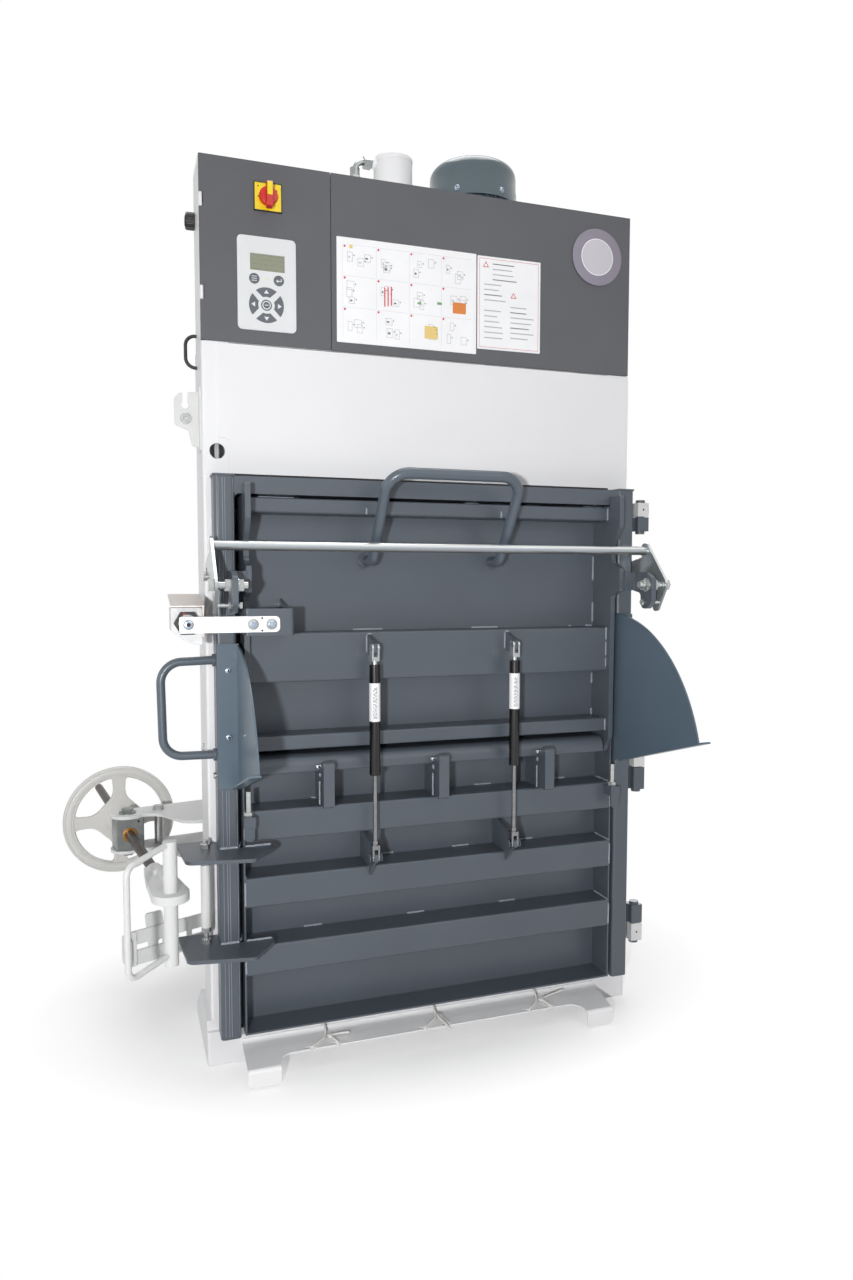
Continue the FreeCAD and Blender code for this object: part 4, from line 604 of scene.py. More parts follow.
class Piece:
    """One named object made of several shapes, each with its own finish."""

    BEAD_PITCH = 0.7
    BEAD_WOBBLE = 0.12
    BEAD_WAIST = 0.78
    BEAD_END = 0.5
    BEAD_SEED = 7919

    def __init__(self, name: str, body: str, plane: Union[Plane, Side] = Side.FRONT) -> None:
        """Starts an empty piece that rides on a body, drawn on a plane."""
        self.name = name
        self.body = body
        self.plane = plane.value if isinstance(plane, Side) else plane
        self.verts: list[Vector] = []
        self.faces: list[tuple[int, ...]] = []
        self.slots: list[int] = []
        self.finishes: list[Finish] = []

    def put(self, verts: Iterable[Vector], faces: Iterable[Sequence[int]], finish: Finish) -> None:
        """Adds faces.

        Args:
            verts: drawing points.
            faces: indices into them.
            finish: what the faces are finished with.
        """
        if finish not in self.finishes:
            self.finishes.append(finish)
        start = len(self.verts)
        self.verts.extend(verts)
        for face in faces:
            self.faces.append(tuple(start + i for i in face))
            self.slots.append(self.finishes.index(finish))

    def slab(self, outline: Sequence[Point], low: float, high: float, finish: Finish, edge: float = 0.0) -> None:
        """A flat shape with thickness, its outer edges eased.

        Args:
            outline: corners (across, up) of the plane, in order.
            low: where it starts, out of the plane.
            high: where it ends.
            finish: its finish.
            edge: how far the outer edges are eased.
        """
        count = len(outline)
        middle = (sum(p[0] for p in outline) / count, sum(p[1] for p in outline) / count)
        rings = [(low, 0.0), (high - edge, 0.0)] + ([(high, edge)] if edge else [])
        verts = []
        for w, inset in rings:
            for u, v in outline:
                far = math.hypot(u - middle[0], v - middle[1]) or 1.0
                keep = max(0.0, 1 - inset / far)
                verts.append(self.plane.point(middle[0] + (u - middle[0]) * keep,
                                              middle[1] + (v - middle[1]) * keep, w))
        self.put(verts, walls(count, len(rings)) + caps(count, len(rings)), finish)

    def oblong(self, left: float, right: float, bottom: float, top: float, low: float, high: float,
               finish: Finish, round_by: float = 0.0, edge: float = 0.0) -> None:
        """A rectangular slab with rounded corners.

        Args:
            left: lowest distance across.
            right: highest distance across.
            bottom: lowest distance up.
            top: highest distance up.
            low: where it starts, out of the plane.
            high: where it ends.
            finish: its finish.
            round_by: radius of its corners.
            edge: how far the outer edges are eased.
        """
        self.slab(rounded(left, right, bottom, top, round_by), low, high, finish, edge)

    def turned(self, centre: Point, profile: Sequence[Point], finish: Finish, around: int = 24,
               turn: float = 0.0) -> None:
        """A turned shape whose axis stands out of the plane.

        Args:
            centre: (across, up) of its axis.
            profile: (radius, out) pairs from its foot to its top.
            finish: its finish.
            around: sides of the turned shape; 6 makes a hexagon.
            turn: angle of its first side, in degrees.
        """
        self.put(self.circles(centre, profile, around, turn),
                 walls(around, len(profile)) + caps(around, len(profile)), finish)

    def circles(self, centre: Point, profile: Sequence[Point], around: int, turn: float = 0.0) -> list[Vector]:
        """The points of a turned shape, ring after ring.

        Args:
            centre: (across, up) of its axis.
            profile: (radius, out) of each ring.
            around: points on a ring.
            turn: angle of the first point, in degrees.

        Returns:
            The points.
        """
        angles = [math.radians(turn + 360 * k / around) for k in range(around)]
        return [self.plane.point(centre[0] + radius * math.cos(angle), centre[1] + radius * math.sin(angle), out)
                for radius, out in profile for angle in angles]

    def screw(self, u: float, v: float, low: float, radius: float, height: float, drive: Drive,
              finish: Finish, washer: float = 0.0) -> None:
        """A screw head, with a washer where it has one.

        Args:
            u: distance across.
            v: distance up.
            low: the surface it sits on, out of the plane.
            radius: of the head.
            height: of the head.
            drive: how the head is made.
            finish: its finish.
            washer: radius of the washer under it.
        """
        if washer:
            thick = 1.6
            self.turned((u, v), [(washer, low), (washer, low + 1.2), (washer - 0.5, low + thick)], finish, 20)
            low += thick
        if drive is Drive.HEXAGON:
            self.turned((u, v), [(radius, low), (radius, low + height * 0.8), (radius * 0.88, low + height)],
                        finish, 6, 12.0)
            self.turned((u, v), [(radius * 0.8, low + height * 0.9), (radius * 0.76, low + height * 1.03)], finish, 20)
            return
        self.turned((u, v), [(radius, low), (radius, low + height * 0.45), (radius * 0.86, low + height * 0.82),
                             (radius * 0.5, low + height)], finish, 20)
        # Painted shade: a near-black hexagon on the head stands in for the socket's recess.
        self.turned((u, v), [(radius * 0.44, low + height * 0.9), (radius * 0.44, low + height * 1.03)], DARK, 6, 20.0)

    def loop(self, centre: Point, profile: Sequence[Point], finish: Finish, around: int = 64) -> None:
        """A hollow turned shape whose axis stands out of the plane.

        Args:
            centre: (across, up) of its axis.
            profile: (radius, out) pairs round its whole section, ending beside where they start.
            finish: its finish.
            around: sides of the turned shape.
        """
        self.put(self.circles(centre, profile, around), walls(around, len(profile), closed=True), finish)

    def tube(self, points: Sequence[Vector], radius: Union[float, Sequence[float]], finish: Finish,
             sides: int = 8) -> None:
        """A tube along drawing points.

        Args:
            points: its centre line.
            radius: one radius, or one for each point.
            finish: its finish.
            sides: sides of its section.
        """
        radii = [radius] * len(points) if isinstance(radius, (int, float)) else list(radius)
        verts = []
        normal = None
        for i, point in enumerate(points):
            ahead = (points[min(i + 1, len(points) - 1)] - points[max(i - 1, 0)]).normalized()
            if normal is None:
                normal = ahead.orthogonal().normalized()
            normal = (normal - ahead * normal.dot(ahead)).normalized()
            other = ahead.cross(normal)
            for k in range(sides):
                angle = math.tau * k / sides
                verts.append(point + (normal * math.cos(angle) + other * math.sin(angle)) * radii[i])
        self.put(verts, walls(sides, len(points)) + caps(sides, len(points)), finish)

    def bead(self, start: Point, end: Point, radius: float, finish: Finish, seed: int) -> None:
        """A weld bead along a joint, rippled as the welder left it.

        Args:
            start: drawing point where it begins.
            end: drawing point where it ends.
            radius: of the bead.
            finish: its finish.
            seed: picks its ripples.
        """
        a, b = Vector(start), Vector(end)
        count = max(3, int((b - a).length / (radius * self.BEAD_PITCH)))
        chance = random.Random(seed * self.BEAD_SEED + count)
        points, radii = [], []
        for i in range(count + 1):
            wobble = Vector([chance.uniform(-self.BEAD_WOBBLE, self.BEAD_WOBBLE) * radius for _ in range(3)])
            points.append(a.lerp(b, i / count) + wobble)
            swell = self.BEAD_WAIST if i % 2 else 1.0
            radii.append(radius * swell * chance.uniform(0.85, 1.12) * (self.BEAD_END if i in (0, count) else 1.0))
        self.tube(points, radii, finish, 7)

    def made(self, slot: str) -> bpy.types.Object:
        """Makes the object.

        Args:
            slot: the record's material slot that it takes after; not used.

        Returns:
            The object, riding on its body.
        """
        mesh = bpy.data.meshes.new(self.name)
        mesh.from_pydata([at(*v) for v in self.verts], [], self.faces)
        for finish in self.finishes:
            mesh.materials.append(finish.material())
        mesh.polygons.foreach_set("material_index", self.slots)
        shape = bmesh.new()
        shape.from_mesh(mesh)
        bmesh.ops.recalc_face_normals(shape, faces=shape.faces)
        shape.to_mesh(mesh)
        shape.free()
        mesh.polygons.foreach_set("use_smooth", [True] * len(mesh.polygons))
        mesh.set_sharp_from_angle(angle=math.radians(SHARP_ANGLE))
        thing = bpy.data.objects.new(self.name, mesh)
        bpy.context.scene.collection.objects.link(thing)
        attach(thing, self.body)
        LOG.info("%s: %d faces", self.name, len(self.faces))
        return thing


def walls(around: int, rings: int, closed: bool = False) -> list[tuple[int, ...]]:
    """The faces between rings of points that follow one another.

    Args:
        around: points on a ring.
        rings: how many rings there are.
        closed: whether the last ring joins the first.

    Returns:
        The faces, as indices into the points.
    """
    faces = []
    for ring in range(rings if closed else rings - 1):
        here, there = ring * around, (ring + 1) % rings * around
        faces += [(here + k, here + (k + 1) % around, there + (k + 1) % around, there + k) for k in range(around)]
    return faces


def caps(around: int, rings: int) -> list[tuple[int, ...]]:
    """The faces that close the first ring and the last."""
    return [tuple(range(around))[::-1], tuple((rings - 1) * around + k for k in range(around))]


def edges(left: float, right: float, bottom: float, top: float, wide: float) -> list[tuple[float, ...]]:
    """The four strips just inside a rectangle's edges.

    Args:
        left: lowest distance across.
        right: highest distance across.
        bottom: lowest distance up.
        top: highest distance up.
        wide: width of a strip.

    Returns:
        The strips, each as left, right, bottom and top.
    """
    return [(left, right, bottom, bottom + wide), (left, right, top - wide, top),
            (left, left + wide, bottom, top), (right - wide, right, bottom, top)]


def rounded(left: float, right: float, bottom: float, top: float, radius: float, steps: int = 5) -> list[Point]:
    """Corners of a rectangle with rounded corners.

    Args:
        left: lowest distance across.
        right: highest distance across.
        bottom: lowest distance up.
        top: highest distance up.
        radius: of its corners.
        steps: points on each corner.

    Returns:
        The outline, anticlockwise.
    """
    if radius <= 0:
        return [(left, bottom), (right, bottom), (right, top), (left, top)]
    corners = ((right - radius, bottom + radius, -90), (right - radius, top - radius, 0),
               (left + radius, top - radius, 90), (left + radius, bottom + radius, 180))
    outline = []
    for u, v, start in corners:
        for k in range(steps + 1):
            angle = math.radians(start + 90 * k / steps)
            outline.append((u + radius * math.cos(angle), v + radius * math.sin(angle)))
    return outline


# ------------------------------------------------------------------ studio
@dataclass
class Studio:
    """Camera, lamps, pale floor and white surroundings."""

    focal_px: float = 893.36
    frame_px: float = 1280.0
    sensor: float = 36.0
    yaw: float = 19.207
    pitch: float = 3.828
    roll: float = 0.05
    eye: tuple[float, float, float] = (-730.3, -2058.9, 1122.6)
    daylight: float = 0.18
    floor_tone: float = 228.0
    floor_glow: float = 0.25
    floor_level: float = -0.0005

    def camera(self) -> None:
        """Sets the camera where the photograph was taken from."""
        data = bpy.data.cameras.new("viewpoint")
        data.sensor_fit = "VERTICAL"
        data.sensor_height = self.sensor
        data.lens = self.focal_px / self.frame_px * self.sensor
        data.clip_end = 60.0
        camera = bpy.data.objects.new("viewpoint", data)
        bpy.context.scene.collection.objects.link(camera)
        yaw, pitch, roll = (math.radians(a) for a in (self.yaw, self.pitch, self.roll))
        ahead = Vector((math.sin(yaw) * math.cos(pitch), math.cos(yaw) * math.cos(pitch), -math.sin(pitch)))
        right = Vector((math.cos(yaw), -math.sin(yaw), 0.0))
        up = right.cross(ahead)
        side = right * math.cos(roll) + up * math.sin(roll)
        top = up * math.cos(roll) - right * math.sin(roll)
        camera.matrix_world = Matrix.Translation(at(*self.eye)) @ Matrix((side, top, -ahead)).transposed().to_4x4()
        bpy.context.scene.camera = camera

    def lamp(self, name: str, place: Point, aim: Point, size: float, power: float) -> None:
        """Hangs one soft box.

        Args:
            name: of the lamp.
            place: where it hangs, in metres.
            aim: what it faces, in metres.
            size: of its side, in metres.
            power: in watts.
        """
        data = bpy.data.lights.new(name, "AREA")
        data.shape = "SQUARE"
        data.size = size
        data.energy = power
        lamp = bpy.data.objects.new(name, data)
        lamp.location = place
        lamp.rotation_euler = (Vector(aim) - Vector(place)).to_track_quat("-Z", "Y").to_euler()
        bpy.context.scene.collection.objects.link(lamp)

    def floor(self) -> None:
        """Lays a white floor that keeps the machine's shadow."""
        shader = Shader(bpy.data.materials.new("studio_floor"))
        path = shader.add("ShaderNodeLightPath", output="Is Camera Ray")
        gloss = shader.add("ShaderNodeLightPath", output="Is Glossy Ray")
        plain = shader.add("ShaderNodeBsdfDiffuse", values={"Color": light((self.floor_tone,) * 3)})
        glow = shader.add("ShaderNodeEmission", values={"Color": FULL_WHITE, "Strength": self.floor_glow})
        white = shader.add("ShaderNodeEmission", values={"Color": FULL_WHITE, "Strength": 1.0})
        lit = shader.add("ShaderNodeAddShader", values={0: plain, 1: glow})
        reach = shader.add("ShaderNodeVectorMath", {"operation": "LENGTH"}, {0: shader.stretched(1.6, 2.35, 0.0)},
                           "Value")
        bright = shader.add("ShaderNodeMixShader", values={0: reach.past(1.3, 0.5), 1: lit, 2: white})
        seen = shader.add("ShaderNodeMixShader", values={0: (path + gloss).kept(), 1: plain, 2: bright})
        shader.add("ShaderNodeOutputMaterial", values={"Surface": seen})
        mesh = bpy.data.meshes.new("studio_floor")
        mesh.from_pydata([(x, y, self.floor_level) for x, y in ((-14, -10), (14, -10), (14, 18), (-14, 18))], [],
                         [(0, 1, 2, 3)])
        mesh.materials.append(shader.owner)
        floor = bpy.data.objects.new("studio_floor", mesh)
        bpy.context.scene.collection.objects.link(floor)

    def surroundings(self) -> None:
        """White all round for the eye, a plain level for the light."""
        world = bpy.data.worlds.new("surroundings")
        bpy.context.scene.world = world
        shader = Shader(world)
        seen = sum((shader.add("ShaderNodeLightPath", output=kind)
                    for kind in ("Is Glossy Ray", "Is Transmission Ray")),
                   shader.add("ShaderNodeLightPath", output="Is Camera Ray")).kept()
        plain = shader.add("ShaderNodeBackground", values={"Color": FULL_WHITE, "Strength": self.daylight})
        white = shader.add("ShaderNodeBackground", values={"Color": FULL_WHITE, "Strength": 1.0})
        both = shader.add("ShaderNodeMixShader", values={0: seen, 1: plain, 2: white})
        shader.add("ShaderNodeOutputWorld", values={"Surface": both})

    def build(self) -> None:
        """Sets up everything round the machine."""
        self.camera()
        self.surroundings()
        self.floor()
        self.lamp("key", (-1.3, -3.0, 1.08), (0.0, -0.3, 1.0), 0.11, 55.0)
        self.lamp("fill", (1.2, -4.0, 3.0), (0.1, -0.3, 0.6), 2.4, 22.0)
        self.lamp("left", (-4.4, -0.7, 1.8), (-0.4, 0.0, 1.1), 1.8, 26.0)
        self.lamp("top", (0.2, 0.2, 4.6), (0.0, -0.1, 1.0), 2.4, 84.0)
        self.lamp("behind", (2.4, 4.2, 2.6), (0.1, 0.2, 1.1), 2.2, 90.0)
        bpy.context.scene.view_settings.view_transform = "Standard"


# ------------------------------------------------------------------ strap ends
STRAP_TIE = ((0, 26, 76), (0, -13, 76), (3, -29, 66), (4, -43, 54), (-2, -54, 47.75), (-16, -68, 47.75),
             (-31, -80, 47.75), (-37, -86, 47.75), (-37, -86, 37.5), (23, -86, 37.5), (23, -86, 47.75), (21, -81, 48.4))
STRAP_ENDS = (((11, -58, 51), (30, -56, 53), (57, -60, 53)),
              ((13, -54, 52), (-1, -47, 60), (16, -122, 50)),
              ((11, -56, 51), (32, -48, 54), (84, -36, 57)))


@dataclass
class StrapEnd:
    """The loose end of one strapping cord, knotted in front of the door."""

    side: str
    line: float
    route: tuple[tuple[float, float, float], ...]
    length: float
    radius: float = 2.75
    knot_reach: float = 1.7
    knot_depth: float = 1.6
    knot_steps: int = 60

    def build(self) -> None:
        """Lays the cord and ties its knot."""
        name = "strap_end_" + self.side
        curve = bpy.data.curves.new("cord_" + self.side, "CURVE")
        curve.dimensions = "3D"
        curve.bevel_depth = self.radius / 1000
        curve.bevel_resolution = 3
        curve.use_fill_caps = True
        spline = curve.splines.new("NURBS")
        points = [at(self.line + x, y, z) for x, y, z in self.route]
        spline.points.add(len(points) - 1)
        for knot, point in zip(spline.points, points):
            knot.co = (*point, 1.0)
        spline.order_u = 3
        spline.use_endpoint_u = True
        spline.resolution_u = 12
        curve.materials.append(CORD.material())
        cord = bpy.data.objects.new("cord_" + self.side, curve)
        bpy.context.scene.collection.objects.link(cord)
        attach(cord, "press_frame")
        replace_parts(cord, name)
        x, y, z = self.route[-3]
        knot = self.knot(Vector((self.line + x, y, z)))

    def knot(self, middle: Vector) -> bpy.types.Object:
        """Ties an overhand knot round the cord.

        Args:
            middle: drawing point in the middle of the knot.

        Returns:
            The knot.
        """
        piece = Piece("knot_" + self.side, "press_frame")
        points = []
        for k in range(self.knot_steps + 1):
            t = math.tau * k / self.knot_steps
            points.append(middle + Vector(((math.sin(t) + 2 * math.sin(2 * t)) * self.knot_reach,
                                           (math.cos(t) - 2 * math.cos(2 * t)) * self.knot_reach,
                                           self.knot_depth * -math.sin(3 * t))))
        piece.tube(points, self.radius * 0.85, CORD, 8)
        return piece.made("cord")


# ------------------------------------------------------------------ control panel
@dataclass
class ControlPanel:
    """What is on the front of the control cabinet."""

    display: tuple[float, float, float, float] = (-431.0, -353.0, 1813.0, 1850.0)
    round_keys: tuple[tuple[float, float], ...] = ((-421.9, 1794.4), (-367.0, 1794.4))
    lamp: tuple[float, float] = (-394.8, 1794.2)
    ring: tuple[float, float] = (-395.2, 1738.2)
    face: float = 3.0
    sign: tuple[float, float] = (0.6, 0.95)
    arrow_outer: float = 39.0
    arrow_inner: float = 18.6
    arrow_span: float = 37.0
    arrow_gap: float = 6.5
    legend: tuple[float, float, float, float] = (-420.6, -358.4, 1943.4, 2005.6)
    legend_rim: float = 1.6
    frame_high: float = 69.0
    badge_at: tuple[float, float] = (444, 1941)

    def keypad(self) -> None:
        """Presses the keys and the window into the keypad."""
        piece = Piece("keypad_print", "cabinet_door")
        left, right, bottom, top = self.display
        piece.oblong(left + 0.4, right - 0.4, bottom + 0.4, top - 0.4, self.face - 0.95, self.face - 0.6, LCD)
        rim = self.face
        low, high = (rim + out for out in self.sign)
        for u, v in self.round_keys:
            piece.turned((u, v), [(11.7, rim), (11.7, rim + 0.5), (11.0, rim + 0.8)], KEY_GREY, 36)
        for k in range(3):
            piece.oblong(-427.6, -416.2, 1798.6 - 4.6 * k, 1800.0 - 4.6 * k, low, high, KEYPAD_FOIL)
        piece.slab([(-373.5, 1793.5), (-368.5, 1790.0), (-368.5, 1792.6), (-360.6, 1792.6), (-360.6, 1799.0),
                    (-362.4, 1799.0), (-362.4, 1794.4), (-368.5, 1794.4), (-368.5, 1797.0)], low, high, KEYPAD_FOIL)
        piece.turned(self.lamp, [(3.0, rim), (2.6, rim + 0.7), (1.2, rim + 1.1)], LAMP_CREAM, 20)
        u, v = self.ring
        for quarter in range(4):
            self.arrow_key(piece, u, v, 90.0 * quarter)
        piece.turned((u, v), [(12.2, rim), (12.2, rim + 0.5), (11.6, rim + 0.8)], KEY_GREY, 36)
        piece.turned((u, v), [(9.4, rim + 0.7), (9.4, rim + 0.9)], KEYPAD_FOIL, 32)
        piece.turned((u, v), [(7.2, rim + 0.8), (7.2, rim + 1.0)], KEY_GREY, 32)
        piece.oblong(u - 4.2, u + 4.2, v - 0.9, v + 0.9, rim + 0.9, rim + 1.15, KEYPAD_FOIL, 0.8)
        piece.made("keypad_foil")

    def arrow_key(self, piece: Piece, u: float, v: float, turn: float) -> None:
        """One key of the ring, with its arrowhead.

        Args:
            piece: what it becomes part of.
            u: middle of the ring, across.
            v: middle of the ring, up.
            turn: angle of the key, in degrees.
        """
        outer, inner, span = self.arrow_outer, self.arrow_inner, self.arrow_span
        half = 15
        outline = [(u + outer * math.cos(math.radians(turn + a)), v + outer * math.sin(math.radians(turn + a)))
                   for a in [-span + 2 * span * k / (half - 1) for k in range(half)]]
        tight = math.degrees(math.asin(min(1.0, self.arrow_gap / inner)))
        outline += [(u + inner * math.cos(math.radians(turn + a)), v + inner * math.sin(math.radians(turn + a)))
                    for a in [45 - tight - 2 * (45 - tight) * k / 8 for k in range(9)]]
        count = len(outline)
        verts = [piece.plane.point(*p, out) for out in (self.face, self.face + 0.8) for p in outline]
        faces = walls(count, 2)
        for i in range(half - 1):
            j = half + round((count - half - 1) * (1 - i / (half - 1)))
            k = half + round((count - half - 1) * (1 - (i + 1) / (half - 1)))
            near = (count + i, count + i + 1)
            faces.append((*near, count + k, count + j) if j != k else (*near, count + j))
        piece.put(verts, faces, KEY_GREY)
        along, aside = math.cos(math.radians(turn)), math.sin(math.radians(turn))
        corners = [(u + along * 34, v + aside * 34)]
        corners += [(u + along * 25.5 - aside * s * 5.6, v + aside * 25.5 + along * s * 5.6) for s in (1, -1)]
        piece.slab(corners, *(self.face + out for out in self.sign), KEYPAD_FOIL)

    def main_switch(self) -> None:
        """Borders the legend plate and marks the knob."""
        plate = Piece("switch_legend", "cabinet_door")
        for box in edges(*self.legend, self.legend_rim):
            plate.oblong(*box, 0.0, 4.2, SWITCH_BLACK)
        for u, v in ((-411.0, 1996.0), (-370.0, 1990.0), (-411.0, 1974.0)):
            plate.turned((u, v), [(1.6, 3.4), (1.6, 3.7)], SWITCH_BLACK, 12)
        plate.made("yellow_plastic")
        knob = Piece("switch_grip", "main_switch")
        knob.turned((-389.5, 1974.38), [(20.5, 4.2), (20.5, 13.0), (19.0, 16.0), (16.0, 17.0)], RED, 48)
        knob.oblong(-396.6, -382.4, 1946.0, 1998.4, 14.0, 33.4, RED, 2.4, 1.4)
        knob.oblong(-395.4, -383.6, 1969.0, 1996.6, 33.0, 34.0, YELLOW, 1.6, 0.3)
        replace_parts(knob.made("red_plastic"), "switch_knob")

    def sheets(self) -> None:
        """Sticks the two instruction sheets on, with plain marks in place of their pictures."""
        grey, red, orange, sand, green, faint, dark = (
            Film("print_" + name, colour) for name, colour in (
                ("grey", (170, 172, 178)), ("red", (206, 60, 58)), ("orange", (222, 130, 60)),
                ("yellow", (232, 204, 128)), ("green", (110, 160, 110)), ("faint", (206, 208, 214)),
                ("dark", (96, 98, 104))))
        first = Piece("instruction_sheet_left", "press_frame", Plane((-233.0, 0.0, 1673.0)))
        first.oblong(0, 347, 0, 238, 0.0, 0.7, PAPER, 2.0, 0.1)
        chance = random.Random(11)
        for column in range(4):
            for row in range(3):
                self.pictogram(first, 14 + 81 * column, 12 + 71 * row, chance, (grey, dark, faint, red))
        for u, v, w, h, finish in ((30, 214, 8, 8, sand), (286, 92, 34, 26, orange), (214, 26, 34, 30, sand),
                                   (114, 90, 3, 44, red), (122, 92, 3, 44, red), (130, 94, 3, 44, red),
                                   (246, 108, 12, 6, green), (196, 104, 10, 5, green)):
            first.oblong(u, u + w, v, v + h, PRINT_LOW, 0.85, finish, 1.5)
        first.made("keypad_foil")
        second = Piece("instruction_sheet_right", "press_frame", Plane((117.0, 0.0, 1687.0), (1.0, 0.0, 0.006)))
        second.oblong(0, 169, 0, 222, 0.0, 0.7, PAPER, 2.0, 0.1)
        for box in edges(5, 164, 5, 216.8, 0.8):
            second.oblong(*box, PRINT_LOW, PRINT_HIGH, red)
        for u, v in ((14, 196), (88, 128)):
            second.slab([(u, v), (u + 16, v), (u + 8, v + 14)], PRINT_LOW, PRINT_HIGH, red)
            second.slab([(u + 3, v + 1.6), (u + 13, v + 1.6), (u + 8, v + 10.6)], 0.7, 0.9, PAPER)
        for k in range(15):
            start = 40 if k < 4 else (18 if k < 8 else 88)
            top = 204 - 12.4 * k
            second.oblong(start, start + chance.uniform(38, 66), top, top + 2.2, PRINT_LOW, PRINT_HIGH,
                          grey if k % 3 else dark)
        for k in range(6):
            second.oblong(18, 18 + chance.uniform(30, 52), 92 - 13 * k, 94.2 - 13 * k, PRINT_LOW, PRINT_HIGH, grey)
        second.made("keypad_foil")

    def pictogram(self, piece: Piece, u: float, v: float, chance: random.Random, prints: tuple) -> None:
        """One framed step of the instructions, as plain outlines.

        Args:
            piece: the sheet.
            u: left of the frame.
            v: bottom of the frame.
            chance: picks the outlines.
            prints: grey, dark, faint and red print.
        """
        grey, dark, faint, red = prints
        top = v + self.frame_high
        for box in ((u, u + 79, top - 0.6, top), (u, u + 0.6, v, top)):
            piece.oblong(*box, PRINT_LOW, 0.75, faint)
        piece.turned((u + 5, v + 64), [(2.6, 0.6), (2.6, 0.85)], red, 16)
        for _ in range(3):
            a, b = u + chance.uniform(8, 52), v + chance.uniform(6, 38)
            w, h = chance.uniform(9, 17), chance.uniform(14, 22)
            for box in ((a, a + w, b, b + 0.8), (a, a + w, b + h, b + h + 0.8), (a, a + 0.8, b, b + h),
                        (a + w, a + w + 0.8, b, b + h)):
                piece.oblong(*box, PRINT_LOW, PRINT_HIGH, grey)
            if chance.random() < 0.5:
                piece.oblong(a + 2.5, a + w * 0.6, b + h * 0.35, b + h * 0.6, PRINT_LOW, PRINT_HIGH,
                             dark if chance.random() < 0.4 else faint)
            piece.turned((a + w + 4, b + h * 0.7), [(1.5, 0.6), (1.5, 0.85)], dark, 10)

    def badge(self) -> None:
        """A plain round badge in two greys."""
        piece = Piece("round_badge", "press_frame")
        piece.turned(self.badge_at, [(70.0, 2.4), (70.0, 3.0), (69.0, 3.3)], BADGE_VIOLET, 64)
        piece.turned(self.badge_at, [(45.5, 3.2), (45.5, 3.45)], PAPER, 56)
        piece.turned(self.badge_at, [(43.5, 3.3), (43.5, 3.6)], BADGE_PALE, 56)
        piece.made("keypad_foil")

    def build(self) -> None:
        """Builds everything on the cabinet's front."""
        self.keypad()
        self.main_switch()
        self.sheets()
        self.badge()


